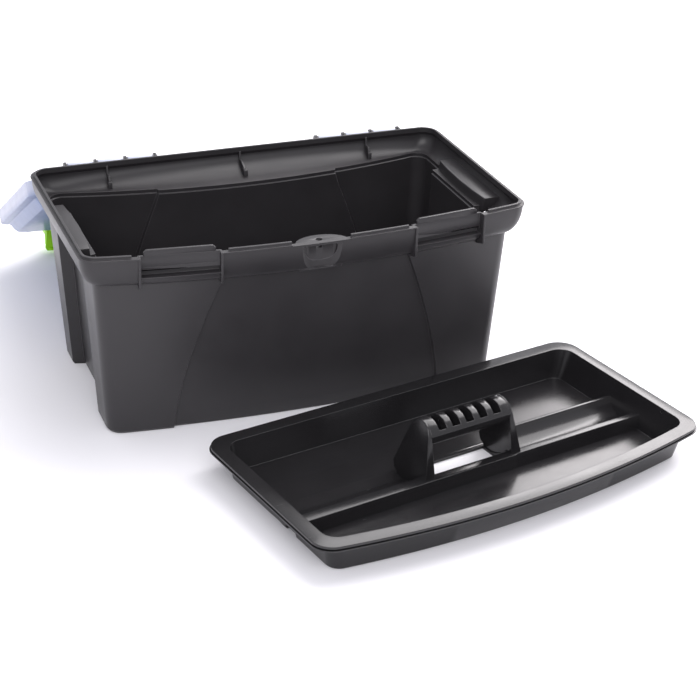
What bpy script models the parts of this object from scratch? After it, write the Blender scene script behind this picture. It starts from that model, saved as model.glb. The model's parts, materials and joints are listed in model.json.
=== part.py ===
"""Toolbox with a lift-out tray, shown standing open.

The tub stands at the origin with its length along X and its front towards -Y.
The translucent lid is modelled closed on the tub and then swung back about its hinge axis.
Its two latches and its carry handle are modelled upright at their pivots and then left hanging.
The tray lies on the floor in front of the tub, turned a little about Z. All lengths are metres.
"""
import math

import bmesh
import bpy
from mathutils import Matrix, Vector

# ---------------------------------------------------------------- driving dimensions
LENGTH = 0.500               # tub rim, overall
RIM_FRONT = -0.133           # front rim at the corners
RIM_BULGE = 0.0255           # how far the front rim bows out in the middle
RIM_BACK = 0.133
RIM_RADIUS = 0.019           # front corners
RIM_BACK_RADIUS = 0.021
RIM_Z = 0.218                # top of the raised bead
LIP_Z = 0.2155               # top of the lip outside the bead
COLLAR_Z = 0.182             # where the walls turn out into the collar
COVE_Z = 0.190               # where the collar's inner cove ends in a small step
WALL = 0.003
WALL_RINGS = (0.045, 0.090, 0.135, 0.1815)

BASE_HALF = 0.225
BASE_FRONT = -0.1145
BASE_BULGE = 0.016
BASE_BACK = 0.112
BASE_BOW = 0.024             # how far the back wall bows in
TOP_HALF = 0.2355            # the walls just below the collar
TOP_FRONT = -0.122
TOP_BULGE = 0.028
TOP_BACK = 0.1255
TOP_BOW = 0.031
WALL_RADIUS = 0.018
GUSSET_X = (-0.160, 0.0, 0.160)
GUSSET_TOP_Y = 0.1175
GUSSET_RISE = 0.0252         # how far the middle of the collar's sheet rises
PANEL_DEPTH = 0.004          # centre panel between the two creases
CREASE_BASE = 0.1545
CREASE_TOP = 0.1035
CREASE_CURVE = 1.5
BACK_CREASE = 0.0055         # how much further out the back wall's creases are
END_INSET = 0.0132           # end panel between the corner pillars
END_ZONE = (-0.062, 0.060)

HINGE_Y = 0.1405
HINGE_Z = 0.2110
ROD_RADIUS = 0.002
ROD_GAP = 0.0003
POST_X = (0.100, 0.1353, 0.1706, 0.206)
POST_WIDTH = 0.0026
KNUCKLE_WIDTH = 0.029
KNUCKLE_RADIUS = 0.0056
ROD_SPAN = (0.0965, 0.2095)

LID_OPEN = math.radians(209.4)
LID_BOTTOM = 0.2186
LID_SKIRT = 0.017
LID_TOP = 0.252
LID_WALL = 0.0024

SEAT_X = 0.1505              # centre of each latch seat
SEAT_HALF = 0.0413           # half the clear width between the fins
FIN_WIDTH = 0.0024
PLATE_BACK = 0.008           # seat plate behind the rim line
PLATE_TOP = 0.2213
PLATE_BOTTOM = 0.1990
SEAT_FLOOR = 0.1922

LATCH_Z = 0.227              # latch pivot, lid closed
LATCH_OUT = 0.0056           # latch pivot in front of the rim line
LATCH_PIN = 0.0022
LATCH_TOP_HALF = 0.0392
LATCH_DROP = 0.0500

HANDLE_Y = -0.013
HANDLE_PIVOT_RISE = 0.009    # above the top of the lid
HANDLE_HALF = 0.066
HANDLE_DROP = 0.040
HANDLE_PIN = 0.0025

TRAY_PLACE = (0.1021, -0.2880, 0.0)
TRAY_YAW = math.radians(11.4)
TRAY_HALF = 0.2376
TRAY_FRONT = -0.1176
TRAY_BULGE = 0.027
TRAY_BACK = 0.1176
TRAY_Z = 0.0369
TRAY_LIP_Z = 0.0318
TRAY_FLOOR = 0.003
TRAY_BASE_HALF = 0.2175
TRAY_BASE_FRONT = -0.1071
TRAY_BASE_BULGE = 0.0204
TRAY_WALL = 0.0024
RIDGE_Z = 0.018
GRIP_CENTRE = -0.002
GRIP_TOP = 0.075

ARC_STEPS = 5
COLLAR_STEPS = 6


# ---------------------------------------------------------------- scene helpers
def clear_scene():
    for obj in list(bpy.data.objects):
        bpy.data.objects.remove(obj, do_unlink=True)


def make_collection(name):
    group = bpy.data.collections.new(name)
    bpy.context.scene.collection.children.link(group)
    return group


def make_material(name, colour, roughness, metallic=0.0, alpha=1.0):
    material = bpy.data.materials.new(name)
    material.use_nodes = True
    shader = material.node_tree.nodes["Principled BSDF"]
    shader.inputs["Base Color"].default_value = (*colour, 1.0)
    shader.inputs["Roughness"].default_value = roughness
    shader.inputs["Metallic"].default_value = metallic
    shader.inputs["Alpha"].default_value = alpha
    return material


def object_from_bmesh(name, bm, group):
    mesh = bpy.data.meshes.new(name)
    bmesh.ops.recalc_face_normals(bm, faces=bm.faces)
    bm.to_mesh(mesh)
    bm.free()
    obj = bpy.data.objects.new(name, mesh)
    group.objects.link(obj)
    return obj


def loft(name, rings, group):
    """Close a stack of rings, all with the same number of points, into one solid."""
    bm = bmesh.new()
    loops = [[bm.verts.new(point) for point in ring] for ring in rings]
    count = len(loops[0])
    for lower, upper in zip(loops, loops[1:]):
        for i in range(count):
            j = (i + 1) % count
            bm.faces.new((lower[i], lower[j], upper[j], upper[i]))
    bmesh.ops.triangulate(bm, faces=bm.faces)
    bm.faces.new(loops[0][::-1])
    bm.faces.new(loops[-1])
    return object_from_bmesh(name, bm, group)


def plate(name, outline, thickness, matrix, group):
    """Extrude a flat outline, drawn in the matrix's XY plane, half each way along its Z."""
    curve = bpy.data.curves.new(name, "CURVE")
    curve.dimensions = "2D"
    curve.fill_mode = "BOTH"
    curve.extrude = thickness / 2
    spline = curve.splines.new("POLY")
    spline.points.add(len(outline) - 1)
    for point, (x, y) in zip(spline.points, outline):
        point.co = (x, y, 0.0, 1.0)
    spline.use_cyclic_u = True
    return solid_from_curve(name, curve, matrix, group)


def solid_from_curve(name, curve, matrix, group):
    """Turn a curve with caps into a welded mesh, because a curve can't be cut or joined."""
    guide = bpy.data.objects.new(name + "_guide", curve)
    guide.matrix_world = matrix
    group.objects.link(guide)
    bpy.context.view_layer.update()
    depsgraph = bpy.context.evaluated_depsgraph_get()
    mesh = bpy.data.meshes.new_from_object(guide.evaluated_get(depsgraph))
    bm = bmesh.new()
    bm.from_mesh(mesh)
    bmesh.ops.remove_doubles(bm, verts=bm.verts, dist=0.00002)
    bmesh.ops.transform(bm, matrix=matrix, verts=bm.verts)
    bpy.data.objects.remove(guide, do_unlink=True)
    return object_from_bmesh(name, bm, group)


def side_plate(name, outline, width, x, group):
    """A plate drawn in Y and Z, its width along X, centred on x."""
    stand = Matrix(((0, 0, 1, x), (1, 0, 0, 0), (0, 1, 0, 0), (0, 0, 0, 1)))
    return plate(name, outline, width, stand, group)


def floor_plate(name, outline, bottom, top, group):
    """A plate drawn in X and Y between two heights."""
    return plate(name, outline, top - bottom, Matrix.Translation((0, 0, (top + bottom) / 2)), group)


def box(name, low, high, group):
    bm = bmesh.new()
    size = [b - a for a, b in zip(low, high)]
    centre = [(a + b) / 2 for a, b in zip(low, high)]
    matrix = Matrix.Translation(centre) @ Matrix.Diagonal((*size, 1.0))
    bmesh.ops.create_cube(bm, size=1.0, matrix=matrix)
    return object_from_bmesh(name, bm, group)


def rod_along_x(name, x0, x1, y, z, radius, segments, group):
    bm = bmesh.new()
    matrix = Matrix.Translation(((x0 + x1) / 2, y, z)) @ Matrix.Rotation(math.pi / 2, 4, "Y")
    bmesh.ops.create_cone(bm, cap_ends=True, segments=segments, radius1=radius, radius2=radius,
                          depth=abs(x1 - x0), matrix=matrix)
    return object_from_bmesh(name, bm, group)


def upright_cylinder(name, x, y, z0, z1, radius, segments, group):
    bm = bmesh.new()
    bmesh.ops.create_cone(bm, cap_ends=True, segments=segments, radius1=radius, radius2=radius,
                          depth=z1 - z0, matrix=Matrix.Translation((x, y, (z0 + z1) / 2)))
    return object_from_bmesh(name, bm, group)


def move(obj, matrix):
    obj.data.transform(matrix)
    return obj


def gather(name, pieces, group):
    """Join several solids into one object of separate bodies."""
    bm = bmesh.new()
    for piece in pieces:
        bm.from_mesh(piece.data)
        bpy.data.objects.remove(piece, do_unlink=True)
    return object_from_bmesh(name, bm, group)


def boolean(target, tool, operation):
    """Add or cut with a hidden tool object, and leave the modifier on the target."""
    tool.hide_render = True
    tool.display_type = "WIRE"
    modifier = target.modifiers.new(tool.name, "BOOLEAN")
    modifier.object = tool
    modifier.operation = operation
    modifier.solver = "EXACT"
    modifier.use_self = True


def finish(obj, material, smooth_angle=35.0):
    obj.data.materials.clear()
    obj.data.materials.append(material)
    obj.data.shade_smooth()
    obj.data.set_sharp_from_angle(angle=math.radians(smooth_angle))


# ---------------------------------------------------------------- outlines
def front_line(x, half, end_y, bulge):
    return end_y - bulge * (1.0 - (x / half) ** 2)


def back_line(x, half, end_y, bow):
    return end_y - bow * (1.0 - (x / half) ** 2)


def corner(half, line, slope, radius, side):
    """Points of the round corner at +X between the front or back line and the end."""
    x = half - radius
    for _ in range(3):
        normal = Vector((-slope(x), 1.0)).normalized() * side
        x = half - radius + radius * normal.x
    centre = Vector((x, line(x))) - radius * normal
    edge_angle = math.atan2(normal.y, normal.x)
    points = []
    for i in range(ARC_STEPS + 1):
        angle = edge_angle * (1.0 - i / ARC_STEPS)
        points.append((centre.x + radius * math.cos(angle), centre.y + radius * math.sin(angle)))
    return points


def stations(crease, corner_x, panel):
    """X positions and set-back along half of a long side, from the middle out to its corner."""
    if crease is None:
        return [(f * corner_x, 0.0) for f in (0.0, 0.2, 0.4, 0.6, 0.8)]
    step = 0.0018
    inside = [(f * crease, panel) for f in (0.0, 0.25, 0.5, 0.75)] + [(crease - step, panel)]
    outside = [(crease + f * (corner_x - crease), 0.0) for f in (0.4, 0.7)]
    return inside + [(crease + step, 0.0)] + outside


def outline(half, front, bulge, back, bow, radius, crease=None, panel=0.0, end_inset=None,
            back_radius=None):
    """Anticlockwise outline from its +X half: straight ends, curved front and back lines.

    crease and panel set the centre panels back; end_inset sets the end panels back."""
    front_corner = corner(half, lambda x: front_line(x, half, front, bulge),
                          lambda x: 2 * bulge * x / half ** 2, radius, -1)
    back_corner = corner(half, lambda x: back_line(x, half, back, bow),
                         lambda x: 2 * bow * x / half ** 2, back_radius or radius, 1)[::-1]
    half_ring = [(x, front_line(x, half, front, bulge) + inset)
                 for x, inset in stations(crease, front_corner[0][0], panel)]
    half_ring += front_corner
    if end_inset is not None:
        low, high = END_ZONE
        step = 0.0018
        half_ring.append((half, low - step))
        half_ring += [(half - end_inset, y) for y in (low + step, 0.0, high - step)]
        half_ring.append((half, high + step))
    half_ring += back_corner
    back_crease = None if crease is None else crease + BACK_CREASE
    half_ring += [(x, back_line(x, half, back, bow) - inset)
                  for x, inset in stations(back_crease, back_corner[-1][0], panel)[::-1]]
    mirrored = [(-x, y) for x, y in half_ring[-2:0:-1]]
    return half_ring + mirrored


def at_height(points, z, shift=0.0):
    return [(x + shift, y, z) for x, y in points]


def mix(a, b, t):
    return a + (b - a) * t


# ---------------------------------------------------------------- tub
def wall_ring(z, inset):
    """Outline of the walls below the collar at height z, moved in by inset."""
    t = z / COLLAR_Z
    half = mix(BASE_HALF, TOP_HALF, t) - inset
    return outline(half, mix(BASE_FRONT, TOP_FRONT, t) + inset, mix(BASE_BULGE, TOP_BULGE, t),
                   mix(BASE_BACK, TOP_BACK, t) - inset, mix(BASE_BOW, TOP_BOW, t),
                   WALL_RADIUS - inset, mix(CREASE_BASE, CREASE_TOP, t ** CREASE_CURVE), PANEL_DEPTH,
                   END_INSET)


def collar_ring(turn, inset):
    """Outline part way round the collar's quarter arc: turn 0 at the wall, 1 at the rim."""
    out = math.sin(turn * math.pi / 2)
    half = mix(TOP_HALF, LENGTH / 2, out) - inset
    keep = max(0.0, 1.0 - 6.0 * turn)
    return outline(half, mix(TOP_FRONT, RIM_FRONT, out) + inset, mix(TOP_BULGE, RIM_BULGE, out),
                   mix(TOP_BACK, RIM_BACK, out) - inset, mix(TOP_BOW, 0.0, out),
                   mix(WALL_RADIUS, RIM_RADIUS, out) - inset, CREASE_TOP, PANEL_DEPTH * keep,
                   END_INSET * keep, mix(WALL_RADIUS, RIM_BACK_RADIUS, out) - inset)


def collar_height(turn, rise):
    return COLLAR_Z + rise * (1.0 - math.cos(turn * math.pi / 2))


def tub_shell(group):
    """One closed loft: up the outside, over the lip and bead, and down the inside."""
    rings = [at_height(wall_ring(0.0, 0.002), 0.0), at_height(wall_ring(0.003, 0.0), 0.003)]
    rings += [at_height(wall_ring(z, 0.0), z) for z in WALL_RINGS]
    outer_rise = LIP_Z - 0.0016 - COLLAR_Z
    for i in range(COLLAR_STEPS + 1):
        turn = i / COLLAR_STEPS
        rings.append(at_height(collar_ring(turn, 0.0), collar_height(turn, outer_rise)))
    lip = [(LIP_Z - 0.0012, -0.0012), (LIP_Z, -0.0010), (LIP_Z, 0.0022), (RIM_Z, 0.0026),
           (RIM_Z, 0.0050), (LIP_Z - 0.003, 0.0054), (LIP_Z - 0.005, 0.0042)]
    rings += [at_height(collar_ring(1.0, inset), z) for z, inset in lip]
    inner_rise = LIP_Z - 0.007 - COVE_Z
    for i in range(COLLAR_STEPS, -1, -1):
        turn = i / COLLAR_STEPS
        z = COVE_Z + inner_rise * (1.0 - math.cos(turn * math.pi / 2))
        rings.append(at_height(collar_ring(turn, WALL), z))
    ledge = COVE_Z - 0.0042
    rings.append(at_height(wall_ring(COLLAR_Z, WALL), ledge))
    rings.append(at_height(wall_ring(COLLAR_Z, WALL + 0.0014), ledge - 0.0006))
    rings += [at_height(wall_ring(z, WALL), z) for z in WALL_RINGS[-2::-1]]
    rings.append(at_height(wall_ring(0.006, WALL), 0.006))
    rings.append(at_height(wall_ring(WALL, WALL + 0.0025), WALL))
    return loft("tub", rings, group)


def seat_frame(sign):
    """Local frame of a latch seat: X along the rim, Y out to the front, Z up, at the rim line."""
    x = SEAT_X
    y = front_line(x, LENGTH / 2, RIM_FRONT, RIM_BULGE)
    slope = math.atan(2 * RIM_BULGE * x / (LENGTH / 2) ** 2)
    frame = Matrix.Translation((sign * x, y, 0)) @ Matrix.Rotation(sign * slope, 4, "Z")
    return frame @ Matrix.Diagonal((1, -1, 1, 1))


def seat_additions(sign, group):
    frame = seat_frame(sign)
    half = SEAT_HALF + FIN_WIDTH / 2
    back = -PLATE_BACK - WALL
    pieces = [box("seat_wall", (-half, back, PLATE_BOTTOM), (half, -0.0012, LIP_Z - 0.0004), group),
              box("seat_pan", (-half, -0.0155, 0.1890), (half, -0.0048, 0.2030), group)]
    top = [(-0.0375, LIP_Z - 0.002), (0.0375, LIP_Z - 0.002), (0.0375, PLATE_TOP - 0.0025),
           (0.0345, PLATE_TOP), (-0.0345, PLATE_TOP), (-0.0375, PLATE_TOP - 0.0025)]
    upright = Matrix(((1, 0, 0, 0), (0, 0, -1, back + WALL / 2), (0, 1, 0, 0), (0, 0, 0, 1)))
    pieces.append(plate("seat_plate", top, WALL, upright, group))
    fin = [(-0.0110, LIP_Z - 0.0006), (0.0012, LIP_Z - 0.0006), (0.0008, 0.1815), (-0.0140, 0.1770),
           (-0.0152, 0.1920), (-0.0110, 0.1960)]
    for side in (-1, 1):
        pieces.append(side_plate("seat_fin", fin, FIN_WIDTH, side * (SEAT_HALF + FIN_WIDTH / 2), group))
    return [move(piece, frame) for piece in pieces]


def seat_cuts(sign, group):
    frame = seat_frame(sign)
    pieces = [box("seat_pocket", (-SEAT_HALF, -PLATE_BACK, PLATE_BOTTOM - 0.001),
                  (SEAT_HALF, 0.012, 0.226), group),
              box("seat_gap", (-SEAT_HALF, -0.0125, SEAT_FLOOR), (SEAT_HALF, 0.012, PLATE_BOTTOM), group)]
    return [move(piece, frame) for piece in pieces]


def bead_gaps(sign, group):
    """The raised bead stops beside each latch seat."""
    frame = seat_frame(sign)
    return [move(box("bead_gap", (-0.0500, -0.0105, LIP_Z), (-0.0376, 0.004, 0.224), group), frame),
            move(box("bead_gap", (0.0376, -0.0105, LIP_Z), (0.0500, 0.004, 0.224), group), frame)]


def padlock_tab(group):
    """Half-round shelf at the rim with a thumb scoop below it."""
    front = RIM_FRONT - RIM_BULGE
    half_width = 0.029
    depth = 0.0205
    rim = [(-half_width, front + 0.002), (half_width, front + 0.002)]
    for i in range(1, 12):
        angle = math.pi * i / 12
        rim.append((half_width * math.cos(angle), front + 0.002 + (depth - 0.002) * math.sin(angle)))
    shelf = floor_plate("padlock_shelf", rim, 0.2112, 0.2146, group)
    lens = [(-0.0235, front + 0.0052), (0.0235, front + 0.0052), (0.0225, front + 0.0068)]
    lens += [(0.016, front + 0.0103), (0.008, front + 0.0119), (0.0, front + 0.0124)]
    lens += [(-0.008, front + 0.0119), (-0.016, front + 0.0103), (-0.0225, front + 0.0068)]
    return [shelf, floor_plate("scoop_back", lens, 0.1820, 0.2125, group)]


def padlock_cuts(group):
    front = RIM_FRONT - RIM_BULGE
    scoop_radius = 0.035
    scoop = upright_cylinder("thumb_scoop", 0.0, front - scoop_radius + 0.008, 0.1835, 0.2114,
                             scoop_radius, 48, group)
    hole = upright_cylinder("padlock_hole", -0.001, front + 0.009, 0.205, 0.220, 0.0035, 20, group)
    gap = box("tab_gap", (-0.033, front - 0.003, 0.2146), (0.033, front + 0.012, 0.224), group)
    return [scoop, hole, gap]


def end_grips(group):
    """Shelf inside each end, over the finger pocket that opens below the collar."""
    solids = []
    cuts = []
    levels = [(0.1852, 0.0016, 0.2380), (0.1887, 0.0014, 0.2411), (0.1952, 0.0007, 0.2443),
              (0.2015, 0.0, 0.2471)]
    ridge = [(-0.0700, 0.2275), (-0.0420, 0.2250), (-0.0065, 0.2240), (0.0290, 0.2250), (0.0570, 0.2275)]
    for sign in (-1, 1):
        rings = []
        for z, slope, outer in levels:
            inner = [(sign * (x - slope), y, z) for y, x in ridge]
            rings.append([(sign * outer, 0.057, z), (sign * outer, -0.070, z)] + inner)
        solids.append(loft("end_shelf", rings, group))
        pocket = [(sign * x, y) for x, y in ((0.2432, -0.067), (0.2432, 0.054), (0.2312, 0.054),
                                             (0.2290, 0.030), (0.2282, -0.006), (0.2290, -0.042),
                                             (0.2312, -0.067))]
        cuts.append(floor_plate("finger_pocket", pocket, 0.170, 0.1985, group))
    return solids, cuts


def in_collar(wall_y, y):
    """Point (y, z) half way through the collar's sheet at the back, above a wall that ends at wall_y."""
    out = (y - wall_y + WALL / 2) / (RIM_BACK - wall_y)
    middle = (COLLAR_Z + COVE_Z) / 2
    return y, middle + GUSSET_RISE * (1.0 - math.sqrt(1.0 - out * out))


def gussets(group):
    """Three ribs that stiffen the back of the collar, thin above and thicker at the foot."""
    pieces = []
    for x in GUSSET_X:
        wall_y = back_line(x, TOP_HALF, TOP_BACK, TOP_BOW)
        foot = mix(wall_y, GUSSET_TOP_Y, 0.30)
        heel = mix(wall_y, GUSSET_TOP_Y, 0.75)
        rib = [in_collar(wall_y, foot + 0.002), in_collar(wall_y, heel), in_collar(wall_y, 0.1240),
               (RIM_BACK - 0.0015, 0.2075), (RIM_BACK - 0.0015, LIP_Z - 0.002),
               (RIM_BACK - 0.0070, LIP_Z - 0.002), (RIM_BACK - 0.0080, 0.2042),
               (GUSSET_TOP_Y, 0.2040), (foot + 0.002, 0.1960)]
        block = [in_collar(wall_y, foot), in_collar(wall_y, heel + 0.0015), (heel + 0.0010, 0.1985),
                 (foot + 0.0012, 0.1985)]
        pieces.append(side_plate("back_gusset", rib, 0.0022, x, group))
        pieces.append(side_plate("gusset_foot", block, 0.0044, x, group))
    return pieces


def hinge_posts(group):
    post = [(RIM_BACK - 0.002, 0.2035), (0.1400, 0.2030), (0.1458, 0.2072), (0.1470, 0.2120),
            (0.1448, 0.2165), (0.1400, 0.2184), (RIM_BACK - 0.002, 0.2178)]
    return [side_plate("hinge_post", post, POST_WIDTH, sign * x, group)
            for sign in (-1, 1) for x in POST_X]


def hinge_bores(group):
    return [rod_along_x("hinge_bore", sign * 0.090, sign * 0.216, HINGE_Y, HINGE_Z,
                        ROD_RADIUS + ROD_GAP, 16, group) for sign in (-1, 1)]


def make_tub(group, tools, material):
    tub = tub_shell(group)
    shelves, pockets = end_grips(tools)
    additions = seat_additions(-1, tools) + seat_additions(1, tools) + padlock_tab(tools)
    additions += shelves + gussets(tools) + hinge_posts(tools)
    cuts = seat_cuts(-1, tools) + seat_cuts(1, tools) + bead_gaps(-1, tools) + bead_gaps(1, tools)
    cuts += padlock_cuts(tools) + pockets + hinge_bores(tools)
    boolean(tub, gather("tub_additions", additions, tools), "UNION")
    boolean(tub, gather("tub_cuts", cuts, tools), "DIFFERENCE")
    finish(tub, material)
    return tub


# ---------------------------------------------------------------- lid
def lid_ring(inset):
    return outline(LENGTH / 2 - inset, RIM_FRONT + inset, RIM_BULGE, RIM_BACK - inset, 0.0,
                   max(RIM_RADIUS - 0.5 * inset, 0.012))


def lid_shell(group):
    """One closed loft: dome, shoulder and skirt outside, then back up the inside."""
    skirt = LID_BOTTOM + LID_SKIRT
    outer = [(LID_BOTTOM, 0.0), (skirt, 0.0008), (skirt + 0.0014, 0.0026), (skirt + 0.0022, 0.0095),
             (skirt + 0.0050, 0.0122), (LID_TOP - 0.0060, 0.0150), (LID_TOP - 0.0018, 0.0185),
             (LID_TOP, 0.0250)]
    inner = [(LID_TOP - LID_WALL, 0.0258), (LID_TOP - 0.0040, 0.0202), (LID_TOP - 0.0074, 0.0174),
             (skirt + 0.0030, 0.0146), (skirt - 0.0004, 0.0118), (skirt - 0.0012, 0.0042),
             (skirt - 0.0022, 0.0032), (LID_BOTTOM, LID_WALL)]
    rings = [at_height(lid_ring(inset), z) for z, inset in outer[::-1] + inner[::-1]]
    return loft("lid", rings, group)


def lid_knuckles(group):
    """Three barrels on each side of the back edge, between the tub's posts."""
    arm = [(-0.0090, 0.0087), (-0.0090, 0.0175), (-0.0030, 0.0167), (0.0022, 0.0125),
           (0.0054, 0.0030), (0.0055, 0.0), (0.0, -0.001), (-0.0040, 0.0062), (-0.0060, 0.0085)]
    arm = [(HINGE_Y + y, HINGE_Z + z) for y, z in arm]
    pieces = []
    for sign in (-1, 1):
        for low, high in zip(POST_X, POST_X[1:]):
            x = sign * (low + high) / 2
            pieces.append(side_plate("knuckle_arm", arm, KNUCKLE_WIDTH, x, group))
            pieces.append(rod_along_x("knuckle", x - KNUCKLE_WIDTH / 2, x + KNUCKLE_WIDTH / 2,
                                      HINGE_Y, HINGE_Z, KNUCKLE_RADIUS, 20, group))
    return pieces


def latch_frame(sign):
    """Latch pivot frame with the lid closed: X along the pivot, Y out to the front, Z up."""
    return seat_frame(sign) @ Matrix.Translation((0, LATCH_OUT, LATCH_Z))


def latch_lugs(sign, group):
    """Two ears on the skirt that carry the ends of one latch's pivot."""
    ear = [(-0.0085, -0.0060), (0.0010, -0.0050), (0.0044, -0.0015), (0.0044, 0.0018),
           (0.0015, 0.0044), (-0.0085, 0.0044)]
    pieces = []
    for side in (-1, 1):
        lug = side_plate("latch_lug", ear, 0.0042, side * 0.0418, group)
        pieces.append(move(lug, latch_frame(sign)))
    return pieces


def latch_lug_bores(sign, group):
    bores = []
    for side in (-1, 1):
        bore = rod_along_x("latch_lug_bore", side * 0.0380, side * 0.0450, 0, 0,
                           LATCH_PIN + ROD_GAP, 14, group)
        bores.append(move(bore, latch_frame(sign)))
    return bores


def handle_lugs(group):
    """Ears on the dome for the carry handle."""
    top = LID_TOP
    pivot = HANDLE_PIVOT_RISE
    ear = [(HANDLE_Y - 0.011, top - 0.0012), (HANDLE_Y + 0.011, top - 0.0012),
           (HANDLE_Y + 0.006, top + pivot + 0.003), (HANDLE_Y + 0.003, top + pivot + 0.0055),
           (HANDLE_Y - 0.003, top + pivot + 0.0055), (HANDLE_Y - 0.006, top + pivot + 0.003)]
    return [side_plate("handle_lug", ear, 0.006, side * (HANDLE_HALF + 0.0035), group)
            for side in (-1, 1)]


def handle_bores(group):
    return [rod_along_x("handle_bore", side * (HANDLE_HALF - 0.002), side * (HANDLE_HALF + 0.010),
                        HANDLE_Y, LID_TOP + HANDLE_PIVOT_RISE, HANDLE_PIN + ROD_GAP, 16, group)
            for side in (-1, 1)]


def post_notches(group):
    """Room in the skirt for the posts that stand above the tub's rim."""
    half = POST_WIDTH / 2 + 0.0013
    return [box("post_notch", (sign * x - half, 0.1265, 0.2150), (sign * x + half, 0.1500, 0.2228), group)
            for sign in (-1, 1) for x in POST_X]


def make_lid(group, tools, material):
    lid = lid_shell(group)
    additions = lid_knuckles(tools) + handle_lugs(tools)
    for sign in (-1, 1):
        additions += latch_lugs(sign, tools)
    cuts = post_notches(tools) + handle_bores(tools) + hinge_bores(tools)
    for sign in (-1, 1):
        cuts += latch_lug_bores(sign, tools)
    boolean(lid, gather("lid_additions", additions, tools), "UNION")
    boolean(lid, gather("lid_cuts", cuts, tools), "DIFFERENCE")
    finish(lid, material)
    return lid


# ---------------------------------------------------------------- latches and handle
def make_latch(name, group, tools, material):
    """Upright latch about its own pivot: barrel, paddle, hook and finger lip."""
    barrel = rod_along_x(name, -LATCH_TOP_HALF, LATCH_TOP_HALF, 0, 0, 0.0036, 16, group)
    pins = rod_along_x("latch_pins", -0.0434, 0.0434, 0, 0, LATCH_PIN, 14, tools)
    half = LATCH_TOP_HALF
    paddle_outline = [(-half, 0.0006), (half, 0.0006), (half, -0.0090), (half - 0.0055, -0.0115),
                      (half - 0.0035, -LATCH_DROP + 0.004), (half - 0.0060, -LATCH_DROP),
                      (-half + 0.0060, -LATCH_DROP), (-half + 0.0035, -LATCH_DROP + 0.004),
                      (-half + 0.0055, -0.0115), (-half, -0.0090)]
    upright = Matrix(((1, 0, 0, 0), (0, 0, 1, 0.0036), (0, 1, 0, 0), (0, 0, 0, 1)))
    paddle = plate("latch_paddle", paddle_outline, 0.0030, upright, tools)
    hook = box("latch_hook", (-0.0330, -0.0164, -0.0316), (0.0330, 0.0026, -0.0288), tools)
    lip = box("latch_lip", (-0.0300, 0.0030, -LATCH_DROP + 0.0008),
              (0.0300, 0.0072, -LATCH_DROP + 0.0042), tools)
    web = box("latch_web", (-0.0352, -0.0020, -0.0420), (-0.0332, 0.0026, -0.0020), tools)
    web_far = box("latch_web_far", (0.0332, -0.0020, -0.0420), (0.0352, 0.0026, -0.0020), tools)
    boolean(barrel, gather(name + "_additions", [pins, paddle, hook, lip, web, web_far], tools), "UNION")
    finish(barrel, material)
    return barrel


def make_handle(group, tools, material):
    """Carry handle about its own pivot, standing up: two legs, a round grip and two pins."""
    leg = HANDLE_HALF - 0.0072
    curve = bpy.data.curves.new("carry_handle", "CURVE")
    curve.dimensions = "3D"
    curve.bevel_depth = 0.0065
    curve.bevel_resolution = 3
    curve.use_fill_caps = True
    spline = curve.splines.new("POLY")
    bend = 0.012
    route = [(-leg, 0.0, -0.001)]
    route += [(-leg + bend * (1 - math.cos(a)), 0.0, HANDLE_DROP - bend * (1 - math.sin(a)))
              for a in (0.0, math.pi / 8, math.pi / 4, 3 * math.pi / 8, math.pi / 2)]
    route += [(-x, y, z) for x, y, z in route[::-1]]
    spline.points.add(len(route) - 1)
    for point, place in zip(spline.points, route):
        point.co = (*place, 1.0)
    handle = solid_from_curve("carry_handle", curve, Matrix.Identity(4), group)
    hubs = [rod_along_x("handle_hub", side * (HANDLE_HALF - 0.0105), side * (HANDLE_HALF - 0.0002), 0, 0,
                        0.0070, 18, tools) for side in (-1, 1)]
    pins = [rod_along_x("handle_pin", side * (HANDLE_HALF - 0.006), side * (HANDLE_HALF + 0.0060), 0, 0,
                        HANDLE_PIN, 16, tools) for side in (-1, 1)]
    boolean(handle, gather("handle_additions", hubs + pins, tools), "UNION")
    finish(handle, material)
    return handle


# ---------------------------------------------------------------- tray
def tray_ring(half, front, bulge, back, radius):
    return outline(half, front, bulge, back, 0.0, radius)


def tray_shell(group):
    """One closed loft: base, wall, hanging lip, flat rim and the inside down to the floor."""
    wall_top = (0.2255, TRAY_BASE_FRONT - 0.004, TRAY_BASE_BULGE + 0.004, 0.1042)
    inner_top = (0.2230, TRAY_BASE_FRONT + 0.0025, TRAY_BASE_BULGE + 0.004, 0.1008)
    rim = (TRAY_HALF, TRAY_FRONT, TRAY_BULGE, TRAY_BACK)
    lip = (TRAY_HALF + 0.001, TRAY_FRONT - 0.001, TRAY_BULGE, TRAY_BACK + 0.001)
    lip_in = (TRAY_HALF - 0.0015, TRAY_FRONT + 0.0015, TRAY_BULGE, TRAY_BACK - 0.0015)
    base = (TRAY_BASE_HALF, TRAY_BASE_FRONT, TRAY_BASE_BULGE, 0.0995)
    foot = (TRAY_BASE_HALF - 0.0015, TRAY_BASE_FRONT + 0.0015, TRAY_BASE_BULGE, 0.0980)
    floor = (0.2143, TRAY_BASE_FRONT + 0.0035, TRAY_BASE_BULGE, 0.0969)
    under = TRAY_Z - TRAY_WALL
    stack = [(0.0, foot, 0.014, 0.0015), (0.0015, base, 0.015, 0.0015), (under, wall_top, 0.018, 0.0035),
             (under, lip_in, 0.022, 0.0023), (TRAY_LIP_Z, lip_in, 0.022, 0.0023),
             (TRAY_LIP_Z, lip, 0.024, 0.0023), (TRAY_LIP_Z + 0.0012, lip, 0.024, 0.0023),
             (TRAY_Z, rim, 0.024, 0.0023), (TRAY_Z, inner_top, 0.018, 0.0036),
             (TRAY_FLOOR, floor, 0.012, 0.0010)]
    rings = [at_height(tray_ring(*size, radius), z, shift) for z, size, radius, shift in stack]
    return loft("tray", rings, group)


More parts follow.
